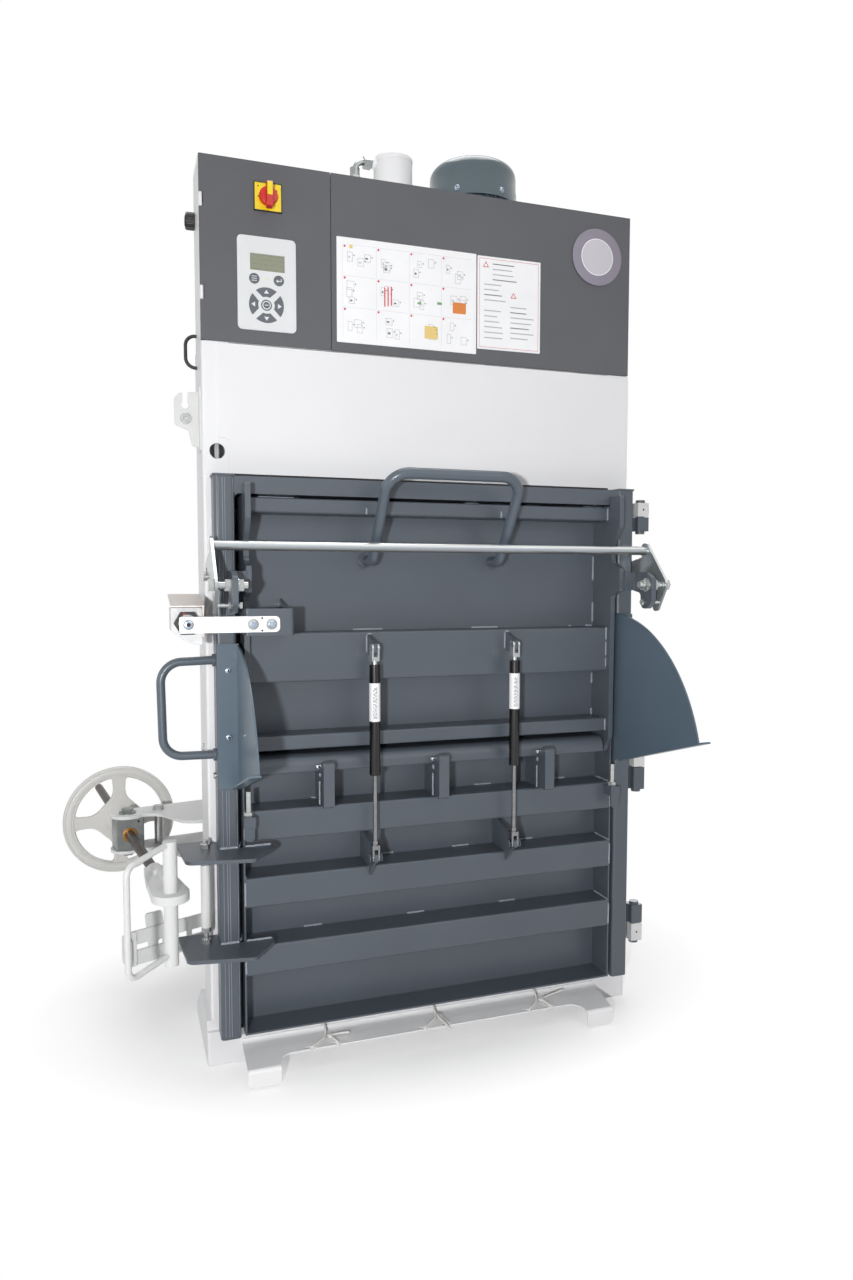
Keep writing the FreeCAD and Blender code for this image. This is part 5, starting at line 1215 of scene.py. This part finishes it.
# ------------------------------------------------------------------ power unit
@dataclass
class PowerUnit:
    """The press cylinder's barrel and the motor's fan hood, as they rise above the cabinet."""

    cylinder: tuple[float, float] = (0.0, 315.0)
    barrel: float = 52.0
    motor: tuple[float, float] = (235.0, 325.0)
    hood: float = 121.0
    hood_foot: float = 2150.0
    crease: float = 2186.0
    shoulder: float = 2227.0
    crown: float = 2266.0
    sheet: float = 2.0
    sectors: int = 96
    slots: tuple[int, ...] = (12, 14, 16)
    screw_angles: tuple[float, ...] = (-132.0, -72.0, -8.0, 58.0, 120.0, 178.0)
    blades: int = 9

    def press_cylinder(self) -> None:
        """Turns the barrel with its flange, rim and pressure port."""
        piece = Piece("press_barrel", "press_frame", Side.TOP)
        r = self.barrel
        piece.loop(self.cylinder, [(29.0, 1405.0), (r - 2, 1405.0), (r, 1407.0), (r, 1650.5), (93.0, 1650.5),
                                   (95.0, 1652.5), (95.0, 1673.0), (93.0, 1675.0), (r + 5, 1675.0), (r, 1680.0),
                                   (r, 2236.0), (r + 1.2, 2237.5), (r + 1.2, 2245.0), (r - 2.0, 2250.0),
                                   (r - 6.0, 2251.0), (0.6, 2251.0), (0.6, 2243.0), (45.2, 2243.0), (45.2, 1446.0),
                                   (29.0, 1446.0)], PLATE_WHITE, 72)
        piece.plane = Plane((self.cylinder[0] - r + 3, self.cylinder[1], 2232.0), (0.0, -1.0, 0.0))
        piece.turned((0.0, 0.0), [(14.5, 0.0), (13.6, 8.0), (12.0, 10.8)], PLATE_WHITE, 28)
        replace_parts(piece.made("white_paint"), "cylinder_barrel")

    def shell(self, piece: Piece, rings: Sequence[Point], kept: Callable[[int, int], bool]) -> None:
        """A pressed sheet turned round the motor's axis, with openings.

        Args:
            piece: what it becomes part of.
            rings: (radius, height) of the outer side, from the foot to the crown.
            kept: tells for a ring and a sector whether there is sheet.
        """
        verts, faces = [], []
        around, last = self.sectors, len(rings) - 1
        for depth in (0.0, self.sheet):
            for i, (radius, height) in enumerate(rings):
                low, high = rings[max(i - 1, 0)], rings[min(i + 1, last)]
                run, rise = high[0] - low[0], high[1] - low[1]
                long = math.hypot(run, rise) or 1.0
                r, z = radius - depth * rise / long, height + depth * run / long
                for k in range(around):
                    angle = math.tau * k / around
                    verts.append(Vector((self.motor[0] + max(r, 1.0) * math.cos(angle),
                                         self.motor[1] + max(r, 1.0) * math.sin(angle), z)))
        inside = len(rings) * around
        for i in range(last):
            for k in range(around):
                if not kept(i, k):
                    continue
                m = (k + 1) % around
                a, b, c, d = i * around + k, i * around + m, (i + 1) * around + m, (i + 1) * around + k
                faces += [(a, b, c, d), (a + inside, d + inside, c + inside, b + inside)]
                for gone, p, q in ((i == 0 or not kept(i - 1, k), a, b), (i == last - 1 or not kept(i + 1, k), c, d),
                                   (not kept(i, (k - 1) % around), a, d), (not kept(i, m), b, c)):
                    if gone:
                        faces.append((p, q, q + inside, p + inside))
        piece.put(verts, faces, MOTOR_GREY)

    def fan_hood(self) -> None:
        """Presses the hood with its crease and inlet slots, and screws it on."""
        piece = Piece("fan_hood", "press_frame", Side.TOP)
        r = self.hood
        rings = [(r + 0.8, self.hood_foot), (r + 1.0, self.hood_foot + 3), (r, self.hood_foot + 6),
                 (r, self.crease), (r - 1.6, self.crease + 3), (r - 1.6, self.shoulder)]
        rings += [(r - 36.6 + 35.0 * math.cos(a), self.shoulder + (self.crown - 6.0 - self.shoulder) * math.sin(a))
                  for a in (math.pi / 2 * k / 6 for k in range(1, 7))]
        rings += [(radius, self.crown - fall) for radius, fall in (
            (78.0, 4.8), (66.0, 3.4), (58.0, 2.6), (47.0, 1.7), (39.0, 1.2), (28.0, 0.6), (20.0, 0.3), (1.0, 0.0))]
        self.shell(piece, rings, lambda i, k: i not in self.slots or k % 12 < 2)
        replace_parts(piece.made("blue_grey_paint"), "fan_cover")
        for index, degrees in enumerate(self.screw_angles, 1):
            a = math.radians(degrees)
            screw = Piece("hood_screw_%d" % index, "press_frame",
                          Plane((self.motor[0] + r * math.cos(a), self.motor[1] + r * math.sin(a), 2168.0),
                                (-math.sin(a), math.cos(a), 0.0)))
            screw.screw(0.0, 0.0, -0.3, 5.4, 3.4, Drive.SOCKET, BLUE_ZINC, 7.4)
            screw.made("zinc")

    def fan(self) -> None:
        """Builds the fan that turns under the hood."""
        piece = Piece("cooling_fan", "fan", Side.TOP)
        piece.turned(self.motor, [(11.0, 2203.5), (11.0, 2206.0), (24.0, 2206.0), (24.0, 2236.0), (21.0, 2239.0),
                                  (9.0, 2240.0)], BLACK, 32)
        piece.turned(self.motor, [(96.0, 2207.0), (96.0, 2209.5), (24.0, 2211.0)], BLACK, 56)
        for k in range(self.blades):
            a = math.tau * k / self.blades
            ahead, aside = Vector((math.cos(a), math.sin(a), 0)), Vector((-math.sin(a), math.cos(a), 0))
            corners = [Vector((*self.motor, z)) + ahead * far + aside * (sweep + half)
                       for half in (-1.3, 1.3) for far, sweep, z in (
                           (22.0, 0.0, 2209.0), (94.0, 9.0, 2209.0), (94.0, 11.0, 2232.0), (22.0, 2.0, 2237.0))]
            piece.put(corners, walls(4, 2) + caps(4, 2), BLACK)
        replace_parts(piece.made("black_plastic"), "motor_fan")

    def build(self) -> None:
        """Builds cylinder, hood and fan."""
        self.press_cylinder()
        self.fan_hood()
        self.fan()


# ------------------------------------------------------------------ flap
@dataclass
class FlapDetails:
    """Welds, screws and the stiffener of the filling flap."""

    sheet: float = 11.0
    rail: float = -60.0
    inner: float = 452.0
    rail_top: float = 1004.0
    struts: float = 175.0
    brackets: float = 169.0
    handle: tuple[float, float] = (167.5, 1167.0)
    foot_steps: int = 28
    bar_face: float = 153.0
    bar_height: float = 1029.0

    def welds(self) -> None:
        """Runs the beads that show on the flap's face."""
        piece = Piece("flap_welds", "flap")
        corner, proud = self.sheet - 1.2, self.rail - 0.6
        for side in (-1, 1):
            x = side * (self.inner - 1.2)
            for k, (low, high) in enumerate(((1122, 1184), (1014, 1066), (853, 881), (752, 788))):
                piece.bead((x, corner, low), (x, corner, high), 3.0, PAINTED_GLINT, 3 * k + side)
            x, y = side * (self.inner - 0.5), self.rail + 0.4
            for k, (low, high) in enumerate(((903, 925), (932, 966), (972, 1003), (1274, 1304), (739, 768))):
                piece.bead((x, y, low), (x, y, high), 2.8, PAINTED_GLINT, 20 + 3 * k + side)
            x = side * self.struts
            piece.bead((x - 6.0, proud, 956), (x - 6.0, proud, 997), 2.6, PAINTED_GLINT, 41)
            piece.bead((x - 5.0, proud, 998.4), (x + 5.0, proud, 998.4), 3.0, PAINTED_GLINT, 42)
            x = side * self.brackets - 11.5
            piece.bead((x, self.rail - 0.4, 1273), (x, self.rail - 0.4, 1289), 2.6, PAINTED_GLINT, 43)
            self.foot(piece, side * self.handle[0], self.handle[1])
        for k, (left, right) in enumerate(((-196, -122), (108, 181), (380, 389), (430, 450))):
            piece.bead((left, corner, self.rail_top + 1.2), (right, corner, self.rail_top + 1.2), 2.8, PAINTED_GLINT, 50 + k)
        piece.made("grey_paint")

    def foot(self, piece: Piece, x: float, z: float) -> None:
        """Welds one leg of the lifting handle all round.

        Args:
            piece: the welds.
            x: middle of the leg.
            z: height of the leg's middle at the sheet.
        """
        ring = [Vector((x + 12.4 * math.cos(a), self.sheet - 1.0, z + 16.5 * math.sin(a)))
                for a in (math.tau * k / self.foot_steps for k in range(self.foot_steps + 1))]
        piece.tube(ring, [2.3 if k % 2 else 2.8 for k in range(len(ring))], HANDLE_GREY, 6)

    def gusset(self) -> None:
        """Stiffens the bracket of the actuator bar against the sheet."""
        piece = Piece("bracket_gusset", "flap", Side.RIGHT)
        piece.slab([(11, 1061), (11, 1079), (5, 1080), (-38, 1064), (-40, 1061)], -370.6, -366.4, DOOR_GREY)
        piece.bead((-368.4, 9.6, 1066), (-368.4, 9.6, 1080), 3.0, PAINTED_GLINT, 61)
        piece.made("grey_paint")

    def screws(self) -> None:
        """Fastens the actuator bar and paints shade into its two spare holes as near-black discs."""
        piece = Piece("bar_screws", "flap")
        for u in (-455.0, -416.0):
            piece.screw(u, self.bar_height, 160.0, 8.4, 4.6, Drive.HEXAGON, BLUE_ZINC)
            piece.turned((u, self.bar_height), [(3.4, 164.4), (3.0, 165.4), (1.6, 165.6)], BLUE_ZINC, 16)
        piece.screw(-588.0, 1030.0, 155.0, 10.2, 2.6, Drive.SOCKET, BLUE_ZINC)
        # Painted shade: near-black discs in place of the two spare holes.
        for v in (1042.0, 1015.5):
            piece.turned((-436.0, v), [(2.3, self.bar_face - 0.4), (2.3, self.bar_face + 0.12)], DARK, 14)
        piece.made("zinc")

    def build(self) -> None:
        """Builds every detail of the flap."""
        self.welds()
        self.gusset()
        self.screws()


@dataclass
class StrutLabel:
    """The paper band round one gas spring, with plain print."""

    side: str
    x: float
    low: float
    high: float
    y: float = -106.0
    radius: float = 12.5
    thick: float = 0.25
    half_line: float = 0.05

    def build(self) -> None:
        """Wraps the band and prints its lines."""
        band = Piece("strut_label_" + self.side, "tube_" + self.side, Side.TOP)
        out = self.radius + self.thick
        band.loop((self.x, self.y), [(self.radius - 0.2, self.low), (out, self.low), (out, self.high),
                                     (self.radius - 0.2, self.high)], PAPER, 40)
        chance = random.Random(int(self.low))
        for row in range(4):
            angle = math.radians(-118 + 11 * row)
            z = self.low + 6.0
            while z < self.high - 14.0:
                run = chance.uniform(3.0, 9.0)
                verts = [Vector((self.x + (out + 0.06) * math.cos(angle + a),
                                 self.y + (out + 0.06) * math.sin(angle + a), height))
                         for a, height in ((-self.half_line, z), (self.half_line, z), (self.half_line, z + run),
                                           (-self.half_line, z + run))]
                band.put(verts, [(0, 1, 2, 3)], LABEL_GREY)
                z += run + chance.uniform(1.4, 3.5)
        band.made("keypad_foil")


# ------------------------------------------------------------------ door
@dataclass
class DoorDetails:
    """Welds, painted fold highlights and screws of the door."""

    post_face: float = 65.0
    skin: float = 15.0
    lug_tops: tuple[float, float] = (525.0, 308.0)
    claws: tuple[float, ...] = STRAP_LINES
    claw_bolts: float = -18.2
    screw_line: float = 499.0
    stud: tuple[float, float] = (-552.0, -45.0)
    fold_highlight_lines: tuple[tuple[float, float], ...] = ((-514.6, 0.9), (-506.2, 1.1), (-501.0, 1.1), (-483.4, 1.0))
    fold_highlight_runs: tuple[tuple[float, float], ...] = ((90.0, 296.0), (312.0, 512.0), (530.0, 656.0), (1042.0, 1345.0))
    beams: tuple[tuple[float, float], ...] = ((535, 604), (382, 451), (224, 293))
    joint: float = 1306.8

    def fold_highlights(self) -> None:
        """Draws painted highlights along the folded edges of the left post, as thin light strips."""
        piece = Piece("post_fold_highlights", "main_door")
        for left, wide in self.fold_highlight_lines:
            for bottom, top in self.fold_highlight_runs:
                piece.oblong(left, left + wide, bottom, top, self.post_face - 0.3, self.post_face + 0.35, PAINTED_GLINT)
        piece.made("grey_paint")

    def welds(self) -> None:
        """Runs the beads of lugs, beams and claws."""
        piece = Piece("door_welds", "main_door")
        front = -self.post_face
        for k, top in enumerate(self.lug_tops):
            piece.bead((-523, front - 1.0, top + 1.0), (-481, front - 1.0, top + 1.0), 3.4, PAINTED_GLINT, k)
            piece.bead((-478, -58, top + 1.2), (-470, -20, top + 1.2), 3.0, PAINTED_GLINT, 5 + k)
            piece.bead((-466, front - 0.6, top + 1.2), (-408, front - 0.6, top + 1.2), 3.0, PAINTED_GLINT, 8 + k)
        for k, x in enumerate(self.claws):
            for dx in (-11.4, 11.4):
                piece.bead((x + dx, front - 0.5, 607), (x + dx, front - 0.5, 662), 2.4, PAINTED_GLINT, 11 + k)
            piece.bead((x - 10, front - 0.8, 672), (x - 10, front - 0.8, 682), 3.4, PAINTED_GLINT, 15 + k)
        for k, (bottom, top) in enumerate(self.beams):
            for side in (-1, 1):
                x = side * 467.0
                piece.bead((x, front + 0.6, bottom + 6), (x, front + 0.6, top - 8), 2.6, PAINTED_GLINT, 20 + k)
                piece.bead((x - side * 2, front + 3, top + 0.8), (x - side * 2, 8, top + 0.8), 2.4, PAINTED_GLINT, 24 + k)
        for k, (x, z) in enumerate(((-300, 605), (-140, 452), (60, 452), (240, 452), (-320, 294), (-60, 294),
                                    (190, 294), (330, 605), (120, 605))):
            piece.bead((x, self.skin - 1.4, z + 0.8), (x + 46, self.skin - 1.4, z + 0.8), 2.6, PAINTED_GLINT, 30 + k)
        piece.made("grey_paint")

    def gap(self) -> None:
        """Shows the hinge strips in the joint above the flap with painted shade between them, and caps the left post.
        """
        bright = Piece("hinge_strips", "main_door")
        for left, right in ((-423.0, -342.0), (77.0, 112.0), (400.0, 446.0)):
            bright.oblong(left, right, self.joint, self.joint + 3.8, 24.0, 27.0, BLUE_ZINC)
        bright.made("zinc")
        dark = Piece("joint_shade_and_post_cap", "main_door")
        # Painted shade: near-black strips between the hinge strips stand in for the shade in the joint.
        for left, right in ((-342.0, -330.0), (159.0, 176.0), (240.0, 279.0), (360.0, 392.0)):
            dark.oblong(left, right, self.joint, self.joint + 4.2, 24.0, 28.0, DARK)
        dark.oblong(-523.5, -479.5, 1349.6, 1352.4, 2.0, 66.0, DARK)
        dark.made("black_plastic")

    def sleeve(self) -> None:
        """Slips a pale sleeve over the stud that holds the lugs apart."""
        piece = Piece("stud_sleeve", "main_door", Side.TOP)
        x, y = self.stud
        piece.loop((x, y), [(9.15, 345.0), (10.6, 345.0), (10.9, 346.0), (10.9, 486.0), (10.6, 487.0), (9.15, 487.0)],
                   LOCK_WHITE, 36)
        piece.made("white_paint")

    def screws(self) -> None:
        """Gives the screws in the posts and claws their drives."""
        piece = Piece("door_screw_drives", "main_door")
        for u in (-self.screw_line, self.screw_line):
            for v in (924.0, 776.0):
                piece.screw(u, v, 72.6, 6.1, 1.6, Drive.SOCKET, BLUE_ZINC)
        for u in self.claws:
            piece.screw(u + self.claw_bolts, 700.0, 88.3, 4.2, 1.4, Drive.SOCKET, BLUE_ZINC)
        piece.made("zinc")

    def build(self) -> None:
        """Builds every detail of the door."""
        self.fold_highlights()
        self.welds()
        self.gap()
        self.sleeve()
        self.screws()


# ------------------------------------------------------------------ frame
@dataclass
class FrameDetails:
    """Joints, grease screws and switch marks on the press frame."""

    hinge_heights: tuple[float, ...] = (1305.5, 659.0, 184.5)
    hinge_x: float = 568.0
    switch_head: tuple[float, float] = (-588.0, 1032.0)

    def panel(self) -> None:
        """Closes the joint beside the raised pad, shows the rod behind its hole, and paints the shadow line under the
        front panel.
        """
        piece = Piece("pad_joint", "press_frame")
        piece.oblong(-484.0, -476.0, 1358.5, 1440.0, -1.0, 1.3, WHITE)
        piece.oblong(-512.0, -502.0, 1388.0, 1432.0, -30.0, -20.0, SWITCH_GREY, 3.0, 2.0)
        piece.made("white_paint")
        # Painted shadow: a near-black strip along the gap between the door's top and the front panel.
        gap_shadow = Piece("panel_gap_shadow", "press_frame")
        gap_shadow.oblong(-474.0, 484.0, 1357.6, 1361.4, 1.6, 3.0, DARK)
        gap_shadow.made("black_plastic")

    def hinges(self) -> None:
        """Puts the small grease screws in the hinge blocks."""
        piece = Piece("hinge_dots", "press_frame")
        for v in self.hinge_heights:
            piece.turned((self.hinge_x, v), [(2.6, 40.5), (2.6, 41.3), (1.8, 41.7)], BLACK, 14)
        piece.made("black_plastic")

    def switch(self) -> None:
        """Marks the safety switch's turning head."""
        piece = Piece("switch_marks", "press_frame")
        piece.turned(self.switch_head, [(18.5, 127.6), (18.5, 130.2), (16.5, 131.2)], SWITCH_GREY, 32)
        piece.turned((-594.0, 1051.0), [(2.4, 127.8), (2.2, 128.8), (1.0, 129.1)], RED, 14)
        piece.made("black_plastic")

    def build(self) -> None:
        """Builds every detail of the frame."""
        self.panel()
        self.hinges()
        self.switch()


@dataclass
class PlateDetails:
    """The dark notches of the strap plate in front of the door."""

    lines: tuple[float, ...] = STRAP_LINES

    def build(self) -> None:
        """Shades the notches from below."""
        dark = Piece("plate_notches", "press_frame", Side.TOP)
        for line in self.lines:
            for middle in (-37.0, 23.0):
                dark.oblong(line + middle - 18.0, line + middle - 6.0, -86.0, -79.0, 40.4, 42.6, DARK)
        dark.made("black_plastic")


@dataclass
class LockDetails:
    """The bush and grub screws of the screw lock."""

    pivot: tuple[float, float, float] = (-711.0, 412.0, 455.0)
    turn: float = 8.24
    half: float = 36.0

    def front(self) -> Plane:
        """The block's front face, seen straight on."""
        a = math.radians(self.turn)
        x, y, z = self.pivot
        return Plane((x + self.half * math.sin(a), y - self.half * math.cos(a), z), (math.cos(a), math.sin(a), 0.0))

    def build(self) -> None:
        """Turns the bronze bush and drives the grub screws."""
        bush = Piece("spindle_bush", "lock_block", self.front())
        bush.turned((0.0, 0.0), [(18.6, -0.6), (18.6, 2.6), (17.0, 4.2), (12.8, 4.2)], BRONZE, 36)
        for v in (-33.0, 33.0):
            bush.turned((22.0, v), [(3.0, -0.4), (3.0, 0.25), (1.6, 0.3)], SCREW_STEEL, 16)
        bush.made("steel")


# ------------------------------------------------------------------ sides and back
@dataclass
class RearDetails:
    """Screws, louvres, gauge and glands that only show from the sides and from behind."""

    back_sheet: float = -5.0
    screw_columns: tuple[float, ...] = (-455.0, -228.0, 0.0, 228.0, 455.0)
    screw_rows: tuple[float, ...] = (1382.0, 1612.0)
    louvres: tuple[float, ...] = (-390.0, 200.0)
    louvre_rows: int = 8
    louvre_pitch: float = 18.0
    louvre_foot: float = 1436.0
    rear_wall: float = -40.0
    side_wall: float = 485.6
    weld: float = 3.2
    tank: tuple[float, float, float, float] = (110.0, 370.0, 200.0, 450.0)
    tank_foot: float = 1650.0
    lid: float = 1960.0
    filler: tuple[float, float, float] = (240.0, 400.0, 60.0)
    connector: tuple[float, float, float] = (-540.0, 108.0, 1942.5)
    ribs: int = 10
    terminal_box: tuple[float, float, float] = (235.0, 194.0, 2075.0)

    def crosshead(self) -> None:
        """Screws the crosshead's back sheet on and presses its louvres."""
        screws = Piece("crosshead_screws", "press_frame", Side.BACK)
        for u in self.screw_columns:
            for v in self.screw_rows:
                screws.screw(u, v, self.back_sheet - 0.2, 6.5, 4.0, Drive.HEXAGON, BRIGHT, 11.0)
        screws.made("zinc")
        louvres = Piece("crosshead_louvres", "press_frame", Side.BACK)
        for left in self.louvres:
            for row in range(self.louvre_rows):
                v, w = self.louvre_foot + self.louvre_pitch * row, self.back_sheet
                louvres.oblong(left, left + 190.0, v, v + 9.0, w - 0.3, w + 2.2, WHITE, 4.0, 1.6)
                # Painted shade: a near-black strip in each louvre's slit.
                louvres.oblong(left + 4.0, left + 186.0, v + 0.6, v + 3.0, w, w + 2.4, DARK, 1.0)
        louvres.made("white_paint")

    def walls(self) -> None:
        """Runs the beads between ribs and walls."""
        back = Piece("rear_wall_welds", "press_frame")
        behind = BODY_DEPTH + self.rear_wall + 1.0
        for k, z in enumerate((760.0, 960.0, 1160.0)):
            for j, left in enumerate((-440.0, -250.0, -60.0, 130.0, 320.0)):
                for edge in (z - 0.8, z + 60.8):
                    back.bead((left, behind, edge), (left + 70.0, behind, edge), self.weld, WHITE, 7 * k + j)
        for k, x in enumerate((-440.0, -146.0, 130.0, 410.0)):
            for j, low in enumerate((110.0, 330.0, 550.0)):
                for edge in (x - 30.8, x + 30.8):
                    back.bead((edge, behind, low), (edge, behind, low + 80.0), self.weld, WHITE, 30 + 5 * k + j)
        back.made("white_paint")
        sides = Piece("side_wall_welds", "press_frame")
        for x in (-self.side_wall, self.side_wall):
            for k, z in enumerate((180.0, 700.0, 960.0, 1220.0)):
                for j, y in enumerate((170.0, 290.0, 410.0)):
                    for edge in (z - 0.8, z + 70.8):
                        sides.bead((x, y, edge), (x, y + 60.0, edge), self.weld, WHITE, 60 + 5 * k + j)
        sides.made("white_paint")

    def tank_fittings(self) -> None:
        """Fits the oil gauge, the drain plug and the lid's screws."""
        left, right, front, back = self.tank
        tank_back = Plane((0.0, back, self.tank_foot), (-1.0, 0.0, 0.0))
        gauge = Piece("oil_gauge", "press_frame", tank_back)
        gauge.oblong(-316.0, -292.0, 60.0, 214.0, -0.3, 7.0, BLACK, 10.0, 1.5)
        gauge.oblong(-310.0, -298.0, 88.0, 186.0, 6.0, 7.5, LCD, 5.0)
        gauge.oblong(-310.0, -298.0, 88.0, 136.0, 6.2, 7.7, BRONZE, 5.0)
        for v in (73.0, 201.0):
            gauge.screw(-304.0, v, 6.6, 7.0, 4.5, Drive.HEXAGON, BRIGHT)
        gauge.made("black_plastic")
        plug = Piece("drain_plug", "press_frame", tank_back)
        plug.screw(-150.0, 26.0, -0.3, 11.0, 7.0, Drive.HEXAGON, BRIGHT, 14.5)
        plug.made("zinc")
        lid = Piece("lid_screws", "press_frame", Plane((0.0, 0.0, self.lid), (1.0, 0.0, 0.0), (0.0, 1.0, 0.0)))
        filler_x, filler_y, clear = self.filler
        for x in (left + 6.0, (left + right) / 2, right - 6.0):
            for y in (back - 6.0, front + 6.0):
                if abs(x - filler_x) > clear or y > filler_y:
                    lid.screw(x, y, -0.2, 4.6, 3.2, Drive.HEXAGON, BRIGHT, 7.4)
        lid.made("zinc")

    def glands(self) -> None:
        """Ribs the connector's nut on the left side and the terminal box's cover."""
        gland = Piece("connector_ribs", "press_frame", Plane(self.connector, (0.0, -1.0, 0.0)))
        for k in range(self.ribs):
            a = math.tau * k / self.ribs
            gland.turned((17.2 * math.cos(a), 17.2 * math.sin(a)), [(2.2, 1.0), (2.2, 17.0), (1.4, 18.4)], BLACK, 8)
        gland.turned((0.0, 0.0), [(13.0, 19.6), (13.0, 21.2), (10.0, 22.0)], DARK, 24)
        gland.made("black_plastic")
        cover = Piece("terminal_cover", "press_frame", Plane(self.terminal_box))
        cover.oblong(-43.0, 43.0, -43.0, 43.0, -0.3, 3.0, MOTOR_GREY, 6.0, 1.2)
        for u in (-36.0, 36.0):
            for v in (-36.0, 36.0):
                cover.screw(u, v, 2.8, 3.6, 2.4, Drive.SOCKET, BRIGHT)
        cover.made("blue_grey_paint")

    def build(self) -> None:
        """Builds every detail of sides and back."""
        self.crosshead()
        self.walls()
        self.tank_fittings()
        self.glands()


def dress_nodes(frame: dict) -> None:
    """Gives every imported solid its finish.
    """
    for name, thing in frame["nodes"].items():
        finish = NODE_FINISH.get(name)
        if finish is None:
            continue
        for slot in thing.material_slots:
            slot.material = finish.material()
        LOG.info("%s finished in %s", name, finish.name)


def main() -> None:
    """Builds the scene in order."""
    logging.basicConfig(level=logging.INFO, format="%(message)s")
    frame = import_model()
    Studio().build()
    for side, line, end, length in zip(("left", "middle", "right"), STRAP_LINES, STRAP_ENDS, (278.0, 322.0, 305.0)):
        StrapEnd(side, line, (*STRAP_TIE, *end), length).build()
    dress_nodes(frame)
    ControlPanel().build()
    for part in (FlapDetails(), StrutLabel("left", -175.0, 801.0, 889.0), StrutLabel("right", 175.0, 814.0, 900.0),
                 DoorDetails(), FrameDetails(), PlateDetails(), LockDetails(), PowerUnit(), RearDetails()):
        part.build()


if __name__ == "__main__":
    main()
